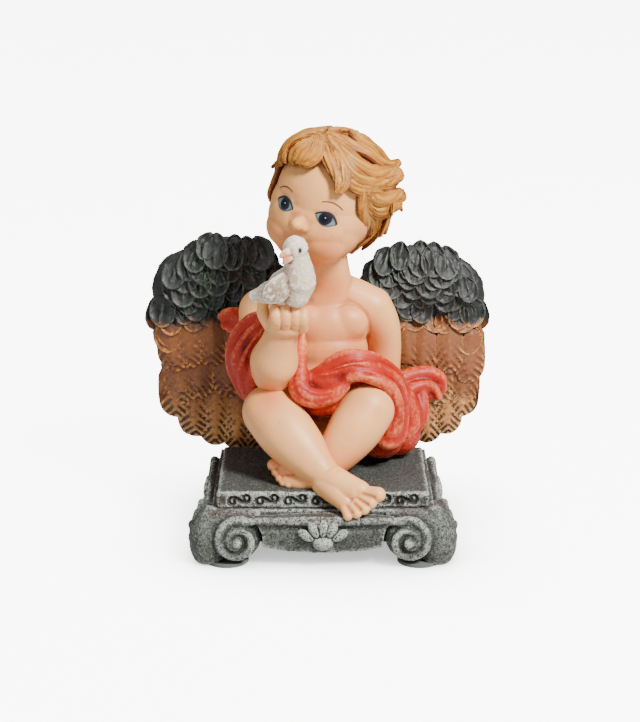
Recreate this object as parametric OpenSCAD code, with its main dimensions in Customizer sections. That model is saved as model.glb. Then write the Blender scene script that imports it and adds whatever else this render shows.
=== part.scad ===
/* Seated cherub with a dove, on a pedestal with scrolled corners.
   Cold-cast resin. The frame has +Z up, +X to the viewer's right and +Y away from the viewer.
   The origin is the middle of the footprint, on the surface that the pedestal stands on. */

/* [Pedestal] */
// Width over the side scrolls
base_w = 82; // [70:1:104]
// Depth over the front and back scrolls
base_d = 70; // [62:1:88]
// Height of the pedestal casting, from its feet to its ledge
pedestal_h = 15; // [13:0.5:20]
// How far the scrolls stand out from the core at the front, the back and the front corners
panel_t = 5.5; // [4.5:0.5:7]
// How far the scrolls of the rear corners stand out at the sides
rear_side_t = 1.4; // [1:0.2:4]
// Radius of the corner scrolls
scroll_r = 7.4; // [6:0.1:8.2]
// Turns of the spiral groove in each scroll
scroll_turns = 1.5; // [1.2:0.1:1.8]
// Width of the spiral groove
groove_w = 1; // [0.6:0.1:1.4]
// Depth of the spiral groove
groove_depth = 1.8; // [1:0.1:2.4]
// Height of the hollow under the pedestal, above its feet
hollow_h = 5.4; // [5:0.1:6]
// Side of each square corner foot
foot_side = 13; // [10:0.5:15]

/* [Seat slab] */
// Width of the raised slab
slab_w = 64; // [54:1:68]
// Depth of the raised slab
slab_d = 42; // [36:1:50]
// Width of the ledge in front of the slab
front_ledge_w = 9; // [6:0.5:12]
// Thickness of the raised slab
slab_t = 5; // [4:0.5:8]
// Number of running scrolls cut in each edge of the slab
frieze_count = 7; // [5:1:9]
// Radius of one curl of the running scroll
curl_r = 1.15; // [0.9:0.05:1.4]
// Depth that the running scroll is cut to
frieze_depth = 0.5; // [0.3:0.1:0.9]

/* [Pads] */
// Radius of each rubber pad under the corners
pad_r = 6.5; // [4:0.5:7]
// Thickness of each rubber pad
pad_t = 1; // [0.8:0.2:2]

/* [Palmette] */
// Width of the palmette on each panel
palmette_w = 15.5; // [12:0.5:18]
// How far the petals stand out of the panel
petal_out = 1.1; // [0.8:0.1:1.6]

/* [Figure] */
// Height of the seated figure, from the slab to the top of its hair
figure_h = 105; // [86:1:127]
// Thickness of the hair over the skull
hair_t = 2.6; // [2:0.1:3.4]

/* [Wings] */
// Overall width across both wings
wing_span = 109; // [96:1:132]
// Height of each wing
wing_h = 73; // [60:1:88]
// Thickness of each wing at its middle
wing_t = 9; // [7.5:0.5:11]
// Radius of the spigot that keys each wing into the back
spigot_r = 2.6; // [2:0.1:3.2]
// Length of each wing spigot
spigot_len = 5; // [3.5:0.5:7]

/* [Dove] */
// Length of the dove, from its breast to its tail
dove_len = 22; // [18:0.5:26]
// Radius of the spigot under the dove
dove_spigot_r = 1.1; // [0.8:0.1:1.4]
// Length of the spigot under the dove
dove_spigot_len = 3; // [2:0.5:4]

/* [Joints] */
// Gap left for glue round each spigot
glue_gap = 0.15; // [0.1:0.05:0.3]

/* [Hidden] */

stone = "#6f7770";
skin = "#e8bf9d";
cloth_red = "#d2452f";
hair_gold = "#c98a45";
feather_amber = "#b8783a";
dove_white = "#e6ddd2";
pad_grey = "#5c6460";

round_fn = 72;      // turned pieces
lump_fn = 14;       // balls inside the hulls of the figure
hair_fn = 20;       // balls inside the hair, which is seen from every side
bite = 0.01;        // how far a cutter runs past the face that it cuts
core_w = base_w - 2 * panel_t;
core_d = base_d - 2 * panel_t;
ledge_z = pad_t + pedestal_h;
seat_z = ledge_z + slab_t;
slab_front_y = -base_d / 2 + front_ledge_w;
seat_y = slab_front_y + 29;   // the figure sits this far behind the slab's front edge
hollow_z = pad_t + hollow_h;
scroll_z = pad_t + scroll_r + 0.1;
flare_r = ledge_z - scroll_z;
bud_out = petal_out * 1.2;
panel_out = panel_t - bud_out;   // the panel's face, behind the front of the palmette
side_panel_out = 0.4;
front_scroll_x = core_w / 2 - scroll_r - 2.4;
side_scroll_y = core_d / 2 - scroll_r - 2.4;
bulge_r = scroll_r + 0.2;   // roundness of a scroll from its ledge to its foot
apron_drop = 1.4;   // how far the middle of each apron hangs below the hollow's roof
design_h = 105;     // the figure height that the figure's own sizes are written for
fig = figure_h / design_h;
cut_size = 400;
inset = 0.5;        // a limb's first ball stays this far inside the one it grows from

// --------------------------------------------------------------- shared shapes

// A ball squeezed to three half sizes.
module lump(at, half, turn = [0, 0, 0], fn = lump_fn)
    translate(at) rotate(turn) scale(half) sphere(1, $fn = fn);

// A limb through a list of [x, y, z, radius], one hull for each stretch.
module limb(joints, fn = lump_fn)
    for (i = [0 : len(joints) - 2])
        hull() {
            joint_ball(joints[i], fn);
            joint_ball(joints[i + 1], fn);
        }

module joint_ball(j, fn) translate([j[0], j[1], j[2]]) sphere(j[3], $fn = fn);

// A flat band of cloth through a list of [x, y, z, half width, half thickness, turn].
module band(stations)
    for (i = [0 : len(stations) - 2])
        hull() {
            band_section(stations[i]);
            band_section(stations[i + 1]);
        }

module band_section(s) lump([s[0], s[1], s[2]], [s[4], s[4], s[3]], [0, s[5], 0]);

// The figure's own frame: a point on the slab's top, at the figure's design size.
module seated() translate([0, seat_y, seat_z]) scale(fig) children();

// Everything below the slab's top and behind its front edge, which no seated piece may enter.
module under_seat() translate([-cut_size / 2, (slab_front_y - seat_y) / fig, -cut_size]) cube(cut_size);

// --------------------------------------------------------------------- pedestal

// Half of the ledge profile: the core with a hollow flare under its ledge.
module flare_profile(half_w)
    difference() {
        translate([-half_w, hollow_z]) square([2 * half_w, ledge_z - hollow_z]);
        for (side = [-1, 1])
            translate([side * (half_w + flare_r * 0.55), ledge_z - flare_r * 0.1])
                circle(flare_r * 0.8, $fn = round_fn);
    }

// The face of one scroll panel between its two scrolls: a raised roll over a hanging apron.
module panel_face(reach)
    difference() {
        hull() {
            translate([-reach, hollow_z + apron_drop])
                square([2 * reach, ledge_z - hollow_z - apron_drop - 1.2]);
            translate([0, hollow_z - apron_drop * 0.3]) scale([reach * 0.6, apron_drop])
                circle(1, $fn = round_fn);
            translate([0, ledge_z - 1.5]) scale([reach * 0.8, 1.5]) circle(1, $fn = round_fn);
        }
        for (side = [-1, 1])
            translate([side * (reach + 1), scroll_z]) circle(scroll_r + glue_gap, $fn = round_fn);
    }

// A scroll panel's band, standing out of the core in -Y.
module panel_band(reach, core_half, out)
    translate([0, -core_half, 0]) rotate([90, 0, 0])
        linear_extrude(out) panel_face(reach);

module pedestal()
    color(stone) {
        intersection() {
            rotate([90, 0, 0]) linear_extrude(core_d, center = true) flare_profile(core_w / 2);
            rotate([90, 0, 90]) linear_extrude(core_w, center = true) flare_profile(core_d / 2);
        }
        for (x = [-1, 1], y = [-1, 1])
            translate([x * (core_w - foot_side) / 2, y * (core_d - foot_side) / 2,
                       (pad_t + hollow_z) / 2 + bite])
                cube([foot_side, foot_side, hollow_z - pad_t + 2 * bite], center = true);
        for (turn = [0, 180])
            rotate([0, 0, turn]) panel_band(front_scroll_x - 1, core_d / 2 - bite, panel_out);
        for (turn = [90, 270])
            rotate([0, 0, turn]) panel_band(side_scroll_y - 1, core_w / 2 - bite, side_panel_out);
    }

// A spiral groove, from the rim towards the eye, as a flat shape.
function spiral(r0, r1, turns, steps) =
    [for (i = [0 : steps]) let (t = i / steps, a = 90 - 360 * turns * t, r = r0 + (r1 - r0) * t)
        [r * cos(a), r * sin(a)]];

module spiral_groove()
    let (steps = 36,
         outer = spiral(scroll_r - 1.6, 1.2 + groove_w / 2, scroll_turns, steps),
         inner = spiral(scroll_r - 1.6 - groove_w, 1.2 - groove_w / 2, scroll_turns, steps))
        polygon(concat(outer, [for (i = [steps : -1 : 0]) inner[i]]));

// One corner scroll, standing out in -Y: a disc whose face rolls over from the ledge to the foot.
module scroll(out)
    rotate([90, 0, 0]) difference() {
        intersection() {
            cylinder(r = scroll_r, h = out, $fn = round_fn);
            translate([0, 0, out - bulge_r]) rotate([0, 90, 0])
                cylinder(r = bulge_r, h = 3 * scroll_r, center = true, $fn = round_fn);
        }
        translate([0, 0, out - min(groove_depth, out * 0.7)])
            linear_extrude(groove_depth + bite) spiral_groove();
    }

// A scroll at each end of one side: the first one at -X, the second at +X.
module scroll_pair(half_gap, core_half, outs)
    for (side = [0, 1]) mirror([side, 0, 0])
        translate([-half_gap, -core_half, scroll_z]) scroll(outs[side]);

module corner_scrolls()
    color(stone) {
        for (turn = [0, 180])
            rotate([0, 0, turn]) scroll_pair(front_scroll_x, core_d / 2, [panel_t, panel_t]);
        rotate([0, 0, 90]) scroll_pair(side_scroll_y, core_w / 2, [panel_t, rear_side_t]);
        rotate([0, 0, 270]) scroll_pair(side_scroll_y, core_w / 2, [rear_side_t, panel_t]);
    }

// One petal: a round tip on a stem that tapers to its root.
module petal(long, half_w) {
    translate([0, long]) circle(half_w, $fn = 32);
    polygon([[-half_w * 0.35, 0], [half_w * 0.35, 0], [half_w * 0.98, long], [-half_w * 0.98, long]]);
}

// Five petals in a fan over one bud, on a panel's face that looks towards -Y.
module palmette(face)
    let (petal_l = palmette_w * 0.38, petal_w = palmette_w * 0.105, bud_z = hollow_z + 2.4)
        translate([0, -face, bud_z]) rotate([90, 0, 0]) {
            linear_extrude(petal_out) for (lean = [-64 : 32 : 64]) rotate(lean) petal(petal_l, petal_w);
            linear_extrude(bud_out) circle(palmette_w * 0.15, $fn = round_fn);
        }

module palmettes()
    color(stone) {
        for (turn = [0, 180]) rotate([0, 0, turn]) palmette(core_d / 2 + panel_out - bite);
        for (turn = [90, 270]) rotate([0, 0, turn]) palmette(core_w / 2 + side_panel_out - bite);
    }

module base_pads()
    color(pad_grey)
        for (x = [-1, 1], y = [-1, 1])
            translate([x * (core_w / 2 - pad_r), y * (base_d / 2 - pad_r - 0.5), 0])
                cylinder(r = pad_r, h = pad_t, $fn = round_fn);

// --------------------------------------------------------------------- seat slab

// Two curls that make one S of the running scroll.
module running_scroll()
    for (end = [-1, 1])
        translate([end * curl_r * 1.5, 0])
            difference() {
                circle(curl_r, $fn = 24);
                circle(curl_r * 0.45, $fn = 24);
                translate([-2 * curl_r, end > 0 ? -2 * curl_r : 0]) square([2 * curl_r, 2 * curl_r]);
            }

module frieze(edge_w)
    let (pitch = edge_w / frieze_count)
        for (i = [0 : frieze_count - 1])
            translate([(i + 0.5) * pitch - edge_w / 2, 0]) running_scroll();

module frieze_cutter(edge_w)
    translate([0, slab_front_y + frieze_depth, ledge_z + slab_t / 2]) rotate([90, 0, 0])
        linear_extrude(frieze_depth + 1) frieze(edge_w - 4);

module seat_slab()
    color(stone) difference() {
        translate([-slab_w / 2, slab_front_y, ledge_z]) cube([slab_w, slab_d, slab_t]);
        frieze_cutter(slab_w);
    }

// ------------------------------------------------------------------------ figure

shoulder_r = [-19.5, 6.5, 47.4, 6.6];
shoulder_l = [16.4, 8, 48.4, 6.4];
elbow_r = [-15.2, -9.5, 32.2, 6.6];
wrist_r = [-12.2, -17.4, 44, 4.2];
elbow_l = [19.5, 11, 25, 5.6];
hand_l = [20, 17, 4.2, 4];
hip_r = [-10, 3, 9.5, 9.4];
hip_l = [10, 3, 9.5, 9.4];
knee_r = [-16.4, -11, 19.6, 8.4];
ankle_r = [-0.6, -24, 4.2, 4.9];
knee_l = [13.6, -10.5, 20.6, 8.2];
ankle_l = [-1.5, -20.2, 3.6, 3.6];
neck_at = [3, 4, 60];
skull_at = [2, 0.5, 83.8];
skull_half = [16.2, 17.4, 17.2];
head_turn = [0, 15, -22];
hand_at = [-11.9, -20, 49.6];
dove_at = [-9.4, -22.5, 62.2];

module torso_form() {
    hull() {
        lump([0, 3.5, 9], [16, 11, 9]);
        lump([2, 3.5, 23], [14.5, 12.5, 10]);
    }
    hull() {
        lump([2, 3.5, 23], [14.5, 12.5, 10]);
        lump([0, 5.5, 41], [14.5, 10.5, 10.5]);
    }
    hull() {
        lump([0, 5.5, 43], [13, 10.5, 9]);
        joint_ball(shoulder_r, lump_fn);
        joint_ball(shoulder_l, lump_fn);
    }
    hull() {
        lump([-1, 6.5, 51], [16, 7, 4]);
        lump(neck_at, [7.4, 7.4, 4]);
    }
    hull() {
        lump(neck_at, [7, 7, 4]);
        lump(neck_at + [0, -1, 7], [7, 7, 4]);
    }
}

// The face leans and turns with the head, about the middle of the skull.
module in_head() translate(skull_at) rotate(head_turn) children();

module head_form()
    in_head() {
        lump([0, 0, 0], skull_half, [0, 0, 0], hair_fn);
        hull() {
            lump([0, -6, -8], [13.5, 10, 8.5]);
            lump([0, -9, -13.5], [6.5, 5.5, 5.5]);
        }
        lump([0, -17.2, -5], [2, 2.2, 2]);
    }

// The hair is a shell over the skull that leaves the face open, with flicked locks at its side.
module hair_form()
    in_head() {
        difference() {
            lump([0, 1.5, 1.5], skull_half + [hair_t, hair_t, hair_t], [0, 0, 0], hair_fn);
            lump([0, -20, -6.5], [15, 13.4, 18], [-12, 0, 0], hair_fn);
        }
        limb([[12, -7, 13, 4], [18, -4, 9, 3], [22, -3, 10, 1.6]]);
        limb([[14, -2, 5, 4], [19, 2, 1, 3], [23, 2, 2, 1.6]]);
        limb([[14, 1, -2, 4], [15, 2, -10, 3.4], [12, -1, -16, 1.8]]);
        limb([[-14.5, -5, 6, 3], [-16.2, -6, -2, 2.4], [-15.4, -7, -6, 1.6]]);
    }

module right_arm_form() {
    limb([shoulder_r - [0, 0, 0, inset], [-19, -1, 39, 6.4], elbow_r]);
    limb([elbow_r, [-14.6, -13, 37, 7.2], wrist_r]);
    lump([-15.2, -9.5, 30.5], [6.2, 6.6, 6]);
}

// The palm with four upright fingers and the thumb beside them.
module right_hand_form() {
    lump(hand_at - [0, 0, 1.5], [5.8, 4, 4.8]);
    for (i = [0 : 3])
        limb([[hand_at[0] - 4.1 + 2.7 * i, hand_at[1] - 2, hand_at[2] - 1, 1.7],
              [hand_at[0] - 4.1 + 2.7 * i, hand_at[1] - 2.4, hand_at[2] + 4.2, 1.35]]);
    limb([[hand_at[0] - 5, hand_at[1] + 2, hand_at[2] - 1, 1.8],
          [hand_at[0] - 6.6, hand_at[1] + 1.4, hand_at[2] + 4.6, 1.4]]);
}

module left_arm_form() {
    limb([shoulder_l - [0, 0, 0, inset], [20, 9.5, 36, 5.4], elbow_l]);
    limb([elbow_l, [20.5, 15, 13, 4], hand_l]);
    lump([20, 18, 1.7], [4, 6, 1.7]);
}

module right_leg_form() {
    limb([hip_r, [-14, -5, 15.5, 9], knee_r]);
    limb([knee_r, [-10.2, -17, 13.8, 8.4], [-5.2, -21, 8.6, 6.6], ankle_r]);
}

module left_leg_form() {
    limb([hip_l, [12.5, -4, 15.5, 8.4], knee_l]);
    limb([knee_l, [9, -14, 13.2, 7.8], [3.5, -17.4, 7.4, 5.8], ankle_l]);
}

// A foot from its heel to its ball, with five toes from the great toe to the little one.
module foot_form(heel, ball_in, ball_out, toe_step, toe_r) {
    hull() {
        joint_ball(heel, lump_fn);
        joint_ball(ball_in, lump_fn);
        joint_ball(ball_out, lump_fn);
    }
    for (i = [0 : 4])
        let (t = i / 4, at = ball_in * (1 - t) + ball_out * t, r = toe_r * (1 - 0.42 * t))
            limb([[at[0], at[1], at[2], r],
                  [at[0] + toe_step[0], at[1] + toe_step[1], at[2] + toe_step[2], r * 0.92]]);
}

module right_foot_form()
    foot_form([0.4, -26.2, 1.6, 4.1], [12, -31.2, 1.2, 2.7], [7.2, -33.6, -2.2, 2.3], [3.2, -1.3, -0.8], 2.1);

module left_foot_form()
    foot_form([-2.6, -21.6, 3, 3], [-11.2, -19.4, 4.4, 2.4], [-9.4, -21.6, 2.1, 2], [-3.1, -0.1, 0.1], 1.7);

module lap_drape_form() {
    band([[-5.6, -9.5, 42, 1.6, 1.6, 0], [-6, -12, 32, 5, 2.8, 10], [-4, -14, 24.6, 6.2, 3, 40],
          [3, -14, 23, 6, 3, 100], [9, -12.5, 29, 5.4, 3, 50], [15, -9, 34, 5.4, 3, 80],
          [22, -3.5, 28.5, 5, 3, 130], [24, -1, 18, 5, 3, 170], [22, -6, 7, 4.6, 3.4, 170]]);
    hull() {
        lump([1, -9, 30], [4, 4, 3]);
        lump([11, -7, 37.5], [4, 3, 2.4]);
        lump([20, 0, 33], [5, 4, 4]);
    }
    hull() {
        lump([-11, -2, 21], [10, 9.5, 5]);
        lump([10, -2, 23], [11, 9.5, 6]);
    }
    hull() {
        lump([0, 12, 20], [17, 7, 7]);
        lump([18, 6, 20], [6, 8, 8]);
    }
}

module arm_drape_form() {
    band([[-18.5, -7, 47, 3, 2.4, 30], [-24.5, -3, 41.6, 7, 4, 30], [-25.6, -2, 34, 8, 4, 8],
          [-23, -4, 24, 6.6, 3.4, -14], [-20, -6, 19, 3, 2.4, -20]]);
    band([[-24, 3, 40, 6, 4, 10], [-27, 9, 43, 4.4, 3, 50], [-31, 14, 46, 2, 1.6, 60]]);
    hull() {
        lump([-24, 3, 38], [4, 5, 7]);
        lump([-17, 11, 24], [6, 5, 9]);
    }
}

module drape_tail_form() {
    band([[22, 6, 20, 5, 3, 10], [30, 9, 22.5, 3.4, 3, 70], [37, 11, 20.5, 3.8, 2.6, 110],
          [36.5, 10, 16.5, 2.4, 2.2, 60]]);
    band([[22, 4, 12, 6, 4, 10], [28.5, 4, 12.5, 6.2, 4, 20], [31.5, 6, 17, 4, 3, 60]]);
    hull() {
        lump([20, 0, 6], [6, 9, 6]);
        lump([27, 2, 8], [5, 7, 6]);
    }
}

// Trims from one another keep every joint between two pieces face to face.
module torso()
    color(skin) seated() difference() {
        torso_form();
        under_seat();
        for (side = [-1, 1]) wing_spigot(side, spigot_r + glue_gap, spigot_len + glue_gap);
    }

module head()
    color(skin) seated() difference() {
        head_form();
        torso_form();
    }

module hair()
    color(hair_gold) seated() difference() {
        hair_form();
        head_form();
        torso_form();
    }

module right_arm()
    color(skin) seated() difference() {
        right_arm_form();
        torso_form();
    }

module right_hand()
    color(skin) seated() difference() {
        right_hand_form();
        right_arm_form();
        dove_spigot(dove_spigot_r + glue_gap);
    }

module left_arm()
    color(skin) seated() difference() {
        left_arm_form();
        torso_form();
        under_seat();
    }

module right_leg()
    color(skin) seated() difference() {
        right_leg_form();
        torso_form();
        right_arm_form();
        left_leg_form();
        under_seat();
    }

module right_foot()
    color(skin) seated() difference() {
        right_foot_form();
        right_leg_form();
        left_leg_form();
        under_seat();
    }

module left_leg()
    color(skin) seated() difference() {
        left_leg_form();
        torso_form();
        under_seat();
    }

module left_foot()
    color(skin) seated() difference() {
        left_foot_form();
        left_leg_form();
        right_leg_form();
        right_foot_form();
        under_seat();
    }

module body_forms() {
    torso_form();
    right_arm_form();
    left_arm_form();
    right_leg_form();
    left_leg_form();
}

module lap_drape()
    color(cloth_red) seated() difference() {
        lap_drape_form();
        body_forms();
        under_seat();
    }

module arm_drape()
    color(cloth_red) seated() difference() {
        arm_drape_form();
        lap_drape_form();
        body_forms();
        under_seat();
    }

module drape_tail()
    color(cloth_red) seated() difference() {
        drape_tail_form();
        lap_drape_form();
        body_forms();
        under_seat();
    }

// ------------------------------------------------------------------------- wings

wing_root = [7, 15, 40];
wing_gap = 9;       // from the middle of the back to the inner edge of each wing
wing_low = -3.6;    // the lowest feather tips, from the seat

// One feather: a flat drop that hangs down from its quill and leans by an angle.
module feather(at, long, wide, thick, lean)
    translate(at) rotate([0, lean, 0]) hull() {
        lump([0, 0, 0], [wide * 0.34, thick * 0.5, wide * 0.34], [0, 0, 0], 10);
        lump([0, 0, -long + wide / 2], [wide / 2, thick * 0.5, wide / 2], [0, 0, 0], 10);
    }

// The spigot that leaves the wing's inner face towards the back of the torso.
module wing_spigot(side, r, long)
    translate([side * wing_root[0], wing_root[1] + 4, wing_root[2]]) rotate([90, 0, 0])
        cylinder(r = r, h = long + 4, $fn = 24);

// A wing on the +X side: a rounded shoulder and three rows of feathers, each row behind the last.
module wing_form(reach, top)
    let (w = reach - wing_gap, h = wing_h / fig, t = wing_t / fig, foot = top - h) {
        hull() {
            lump([wing_gap + w * 0.42, 20, top - h * 0.2], [w * 0.34, t * 0.55, h * 0.19]);
            lump([wing_gap + w * 0.68, 22, top - h * 0.34], [w * 0.3, t * 0.55, h * 0.16]);
            lump([wing_gap, 18, top - h * 0.36], [w * 0.16, t * 0.5, h * 0.16]);
        }
        hull() {
            lump([wing_gap + w * 0.2, 19, top - h * 0.42], [w * 0.3, t * 0.5, h * 0.2]);
            lump([wing_gap + w * 0.5, 22, top - h * 0.64], [w * 0.36, t * 0.45, h * 0.2]);
        }
        for (i = [0 : 4])
            let (u = i / 4)
                feather([wing_gap + w * (0.12 + 0.66 * u), 19 + 3 * u, top - h * (0.5 + 0.02 * u)],
                        h * (0.49 - 0.1 * u * u), w * 0.32, t * 0.7, -3 + 5 * u);
        for (i = [0 : 4])
            let (u = i / 4)
                feather([wing_gap + w * (0.1 + 0.72 * u), 18 + 3.4 * u, top - h * 0.34],
                        h * (0.44 - 0.08 * u), w * 0.3, t * 0.95, -2 + 4 * u);
    }

module wing(side, reach, top)
    color(feather_amber) seated() difference() {
        union() {
            mirror([side < 0 ? 1 : 0, 0, 0]) wing_form(reach / fig, top);
            wing_spigot(side, spigot_r, spigot_len);
        }
        difference() {
            union() {
                body_forms();
                lap_drape_form();
                arm_drape_form();
                drape_tail_form();
            }
            wing_spigot(side, spigot_r + glue_gap, spigot_len + glue_gap);
        }
    }

// The right wing stands a little higher and wider than the left.
module right_wing() wing(-1, wing_span / 2 + 1.5, wing_low + wing_h / fig);
module left_wing() wing(1, wing_span / 2 - 1.5, wing_low + wing_h / fig - 2.8);

// -------------------------------------------------------------------------- dove

module dove_spigot(r)
    translate([dove_at[0] - 1.6, dove_at[1] + 1.6, dove_at[2] - 7.5 - dove_spigot_len])
        cylinder(r = r, h = dove_spigot_len + 5, $fn = 24);

module dove_form()
    translate(dove_at) scale(dove_len / 22) {
        hull() {
            lump([2.4, -0.5, 1.4], [5.4, 5.6, 7], [0, -20, 0]);
            lump([-4, 1.8, -2], [5, 5, 4.4]);
        }
        hull() {
            lump([-5, 2, -1.6], [4, 4.4, 3.8]);
            lump([-12, 5, -2.4], [1.8, 3, 1.6]);
        }
        hull() {
            lump([2.6, -0.6, 5], [4.4, 4.4, 4]);
            lump([1.4, -1.4, 11.8], [4, 4.1, 4]);
        }
        hull() {
            lump([-1.6, -3.4, 10.8], [1.6, 1.6, 1.6]);
            lump([-4, -5.2, 9.4], [0.7, 0.7, 0.7]);
        }
    }

module dove()
    color(dove_white) seated() difference() {
        union() {
            difference() {
                dove_form();
                right_hand_form();
                head_form();
            }
            dove_spigot(dove_spigot_r);
        }
        right_arm_form();
    }

pedestal();
corner_scrolls();
palmettes();
seat_slab();
base_pads();
torso();
head();
hair();
right_arm();
right_hand();
left_arm();
right_leg();
right_foot();
left_leg();
left_foot();
lap_drape();
arm_drape();
drape_tail();
right_wing();
left_wing();
dove();
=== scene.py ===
"""Cherub Figurine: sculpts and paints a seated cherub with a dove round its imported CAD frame.

Sizes are in millimetres in the sculpting functions and become metres in the meshes. The seat frame
has its origin on the slab's top, where the figure sits, with +X to the viewer's right, +Y away and
+Z up. The head frame has the face looking along -Y.
"""
import math
import random

import bpy
import numpy as np
from bpy.props import FloatProperty, FloatVectorProperty, IntProperty, PointerProperty
from mathutils import Euler, Matrix, Vector, noise
from mathutils.bvhtree import BVHTree


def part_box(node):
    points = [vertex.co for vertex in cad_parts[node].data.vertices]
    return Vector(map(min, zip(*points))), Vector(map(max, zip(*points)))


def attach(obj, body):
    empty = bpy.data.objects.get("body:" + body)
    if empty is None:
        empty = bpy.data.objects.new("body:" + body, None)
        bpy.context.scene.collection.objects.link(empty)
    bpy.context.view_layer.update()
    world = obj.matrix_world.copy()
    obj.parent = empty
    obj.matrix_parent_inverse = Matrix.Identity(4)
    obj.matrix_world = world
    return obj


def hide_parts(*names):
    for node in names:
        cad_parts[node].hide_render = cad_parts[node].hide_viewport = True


bl_info = {
    "name": "Cherub Figurine",
    "version": (1, 0, 0),
    "blender": (4, 5, 0),
    "location": "View3D > Sidebar > Cherub",
    "description": "Sculpts and paints a resin cherub on a scrolled pedestal",
    "category": "Add Mesh",
}

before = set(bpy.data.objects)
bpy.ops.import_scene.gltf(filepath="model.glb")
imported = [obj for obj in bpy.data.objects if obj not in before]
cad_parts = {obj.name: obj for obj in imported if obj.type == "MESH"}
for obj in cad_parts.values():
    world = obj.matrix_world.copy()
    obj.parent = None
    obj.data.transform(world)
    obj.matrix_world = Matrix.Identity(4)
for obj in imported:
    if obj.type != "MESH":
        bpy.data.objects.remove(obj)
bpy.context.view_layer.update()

MM = 0.001
SMOOTH_ANGLE = math.radians(60)
SEAT_BEHIND_SLAB_EDGE = 29.0
SLAB_LOW, SLAB_HIGH = (np.array(corner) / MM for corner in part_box("seat_slab"))
LEDGE_Z = SLAB_LOW[2]
SEAT_Y = SLAB_LOW[1] + SEAT_BEHIND_SLAB_EDGE

TABLE_FRAME = Matrix.Diagonal((MM, MM, MM, 1))
SEAT_FRAME = TABLE_FRAME @ Matrix.Translation((0, SEAT_Y, SLAB_HIGH[2]))
HEAD_AT = Vector((0.4, -0.5, 83.3))
HEAD_TURN = Euler((0, math.radians(16), math.radians(-23)))
HEAD_FRAME = SEAT_FRAME @ Matrix.Translation(HEAD_AT) @ HEAD_TURN.to_matrix().to_4x4()


# ------------------------------------------------------------------ settings


def colour(name, words, default):
    """A colour setting."""
    return FloatVectorProperty(name=name, description=words, default=default, subtype="COLOR", size=3,
                               min=0, max=1)


def length(name, words, default):
    """A length setting, given in millimetres."""
    return FloatProperty(name=name, description=words, default=default * MM, unit="LENGTH", min=0)


class CherubSizes(bpy.types.PropertyGroup):
    """Sizes of the sculpted detail."""

    body_grain: length("Body grain", "Size of the clay grain that the body is blended at", 0.45)
    face_grain: length("Face grain",
                       "Size of the clay grain that the head, hands and feet are blended at", 0.3)
    stone_grain: length("Stone grain", "Size of the clay grain that the pedestal is blended at", 0.42)
    frieze_count: IntProperty(name="Frieze repeats", description="Running scrolls along the slab",
                              default=7, min=3)


class CherubColours(bpy.types.PropertyGroup):
    """Paint colours."""

    skin: colour("Skin", "Flesh paint", (0.80, 0.385, 0.135))
    # The hollows take this colour partly as airbrush and partly as painted shade.
    skin_warm_and_shade: colour("Skin shadow", "Airbrushed orange in hollows", (0.46, 0.115, 0.026))
    # This tint is airbrushed on cheeks and knees and also paints shade at the throat and under the arms.
    blush_and_shade: colour("Blush", "Airbrushed blush on cheeks and knees", (0.60, 0.145, 0.038))
    hair: colour("Hair", "Golden paint on the locks", (0.34, 0.12, 0.012))
    hair_deep: colour("Hair shadow", "Brown in the hair's crevices", (0.12, 0.024, 0.005))
    hair_light: colour("Hair light", "Pale gold on the raised locks", (0.50, 0.25, 0.036))
    # The hair turns darker and redder towards the bottom with this colour.
    hair_low: colour("Hair low", "Redder paint on the lowest locks", (0.22, 0.062, 0.009))
    drape: colour("Drape", "Coral red cloth paint", (0.35, 0.011, 0.0018))
    drape_deep: colour("Drape shadow", "Deep red in the folds", (0.11, 0.002, 0.0012))
    drape_light: colour("Drape light", "Pale pink on the ridges", (0.72, 0.19, 0.07))
    feather_dark: colour("Feather dark", "Paint at the top of the wings", (0.011, 0.0128, 0.0122))
    feather_dark_edge: colour("Feather dark edge", "Dry brush on the top feathers", (0.075, 0.084, 0.074))
    feather_amber: colour("Feather amber", "Paint half way down the wings", (0.19, 0.060, 0.013))
    feather_amber_edge: colour("Feather amber edge", "Dry brush half way down", (0.52, 0.21, 0.032))
    feather_tan: colour("Feather tan", "Paint on the wing tips", (0.45, 0.19, 0.045))
    feather_tan_edge: colour("Feather tan edge", "Dry brush on the wing tips", (0.66, 0.41, 0.17))
    feather_green: colour("Feather green", "Green tint in the top feathers' dry brush", (0.05, 0.12, 0.05))
    feather_dark_groove: colour("Feather dark groove", "Wash in the top feathers' grooves",
                                (0.003, 0.004, 0.004))
    feather_amber_groove: colour("Feather amber groove", "Wash in the grooves half way down",
                                 (0.15, 0.045, 0.013))
    feather_tan_groove: colour("Feather tan groove", "Wash in the grooves of the tips", (0.07, 0.03, 0.015))
    stone: colour("Stone", "Grey-green stone paint", (0.068, 0.078, 0.066))
    stone_light: colour("Stone light", "Dry brush on the stone's edges", (0.34, 0.37, 0.32))
    stone_rust: colour("Stone rust", "Reddish wash on the ledge", (0.052, 0.032, 0.027))
    spatter: colour("Spatter", "Dark specks on the stone", (0.006, 0.008, 0.007))
    dove: colour("Dove", "Off-white paint", (0.66, 0.55, 0.40))
    dove_wash: colour("Dove wash", "Brown wash on the dove", (0.20, 0.105, 0.06))
    dove_light: colour("Dove light", "Dry brush on the dove", (0.80, 0.74, 0.62))
    dove_speck: colour("Dove speck", "Specks on the dove", (0.12, 0.12, 0.08))
    dove_eye: colour("Dove eye", "Dark dots of the dove's eye and beak", (0.012, 0.006, 0.005))
    beak: colour("Beak", "Pink paint on the beak", (0.66, 0.22, 0.11))
    rubber: colour("Rubber", "Pads under the corners", (0.10, 0.11, 0.10))


def sizes():
    """The size settings of the open scene."""
    return bpy.context.scene.cherub_sizes


def colours():
    """The colour settings of the open scene."""
    return bpy.context.scene.cherub_colours


# ----------------------------------------------------------------- clay tools


def deselect():
    """Clears the selection, so that the next operator acts on its own piece only."""
    bpy.ops.object.select_all(action="DESELECT")


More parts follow.
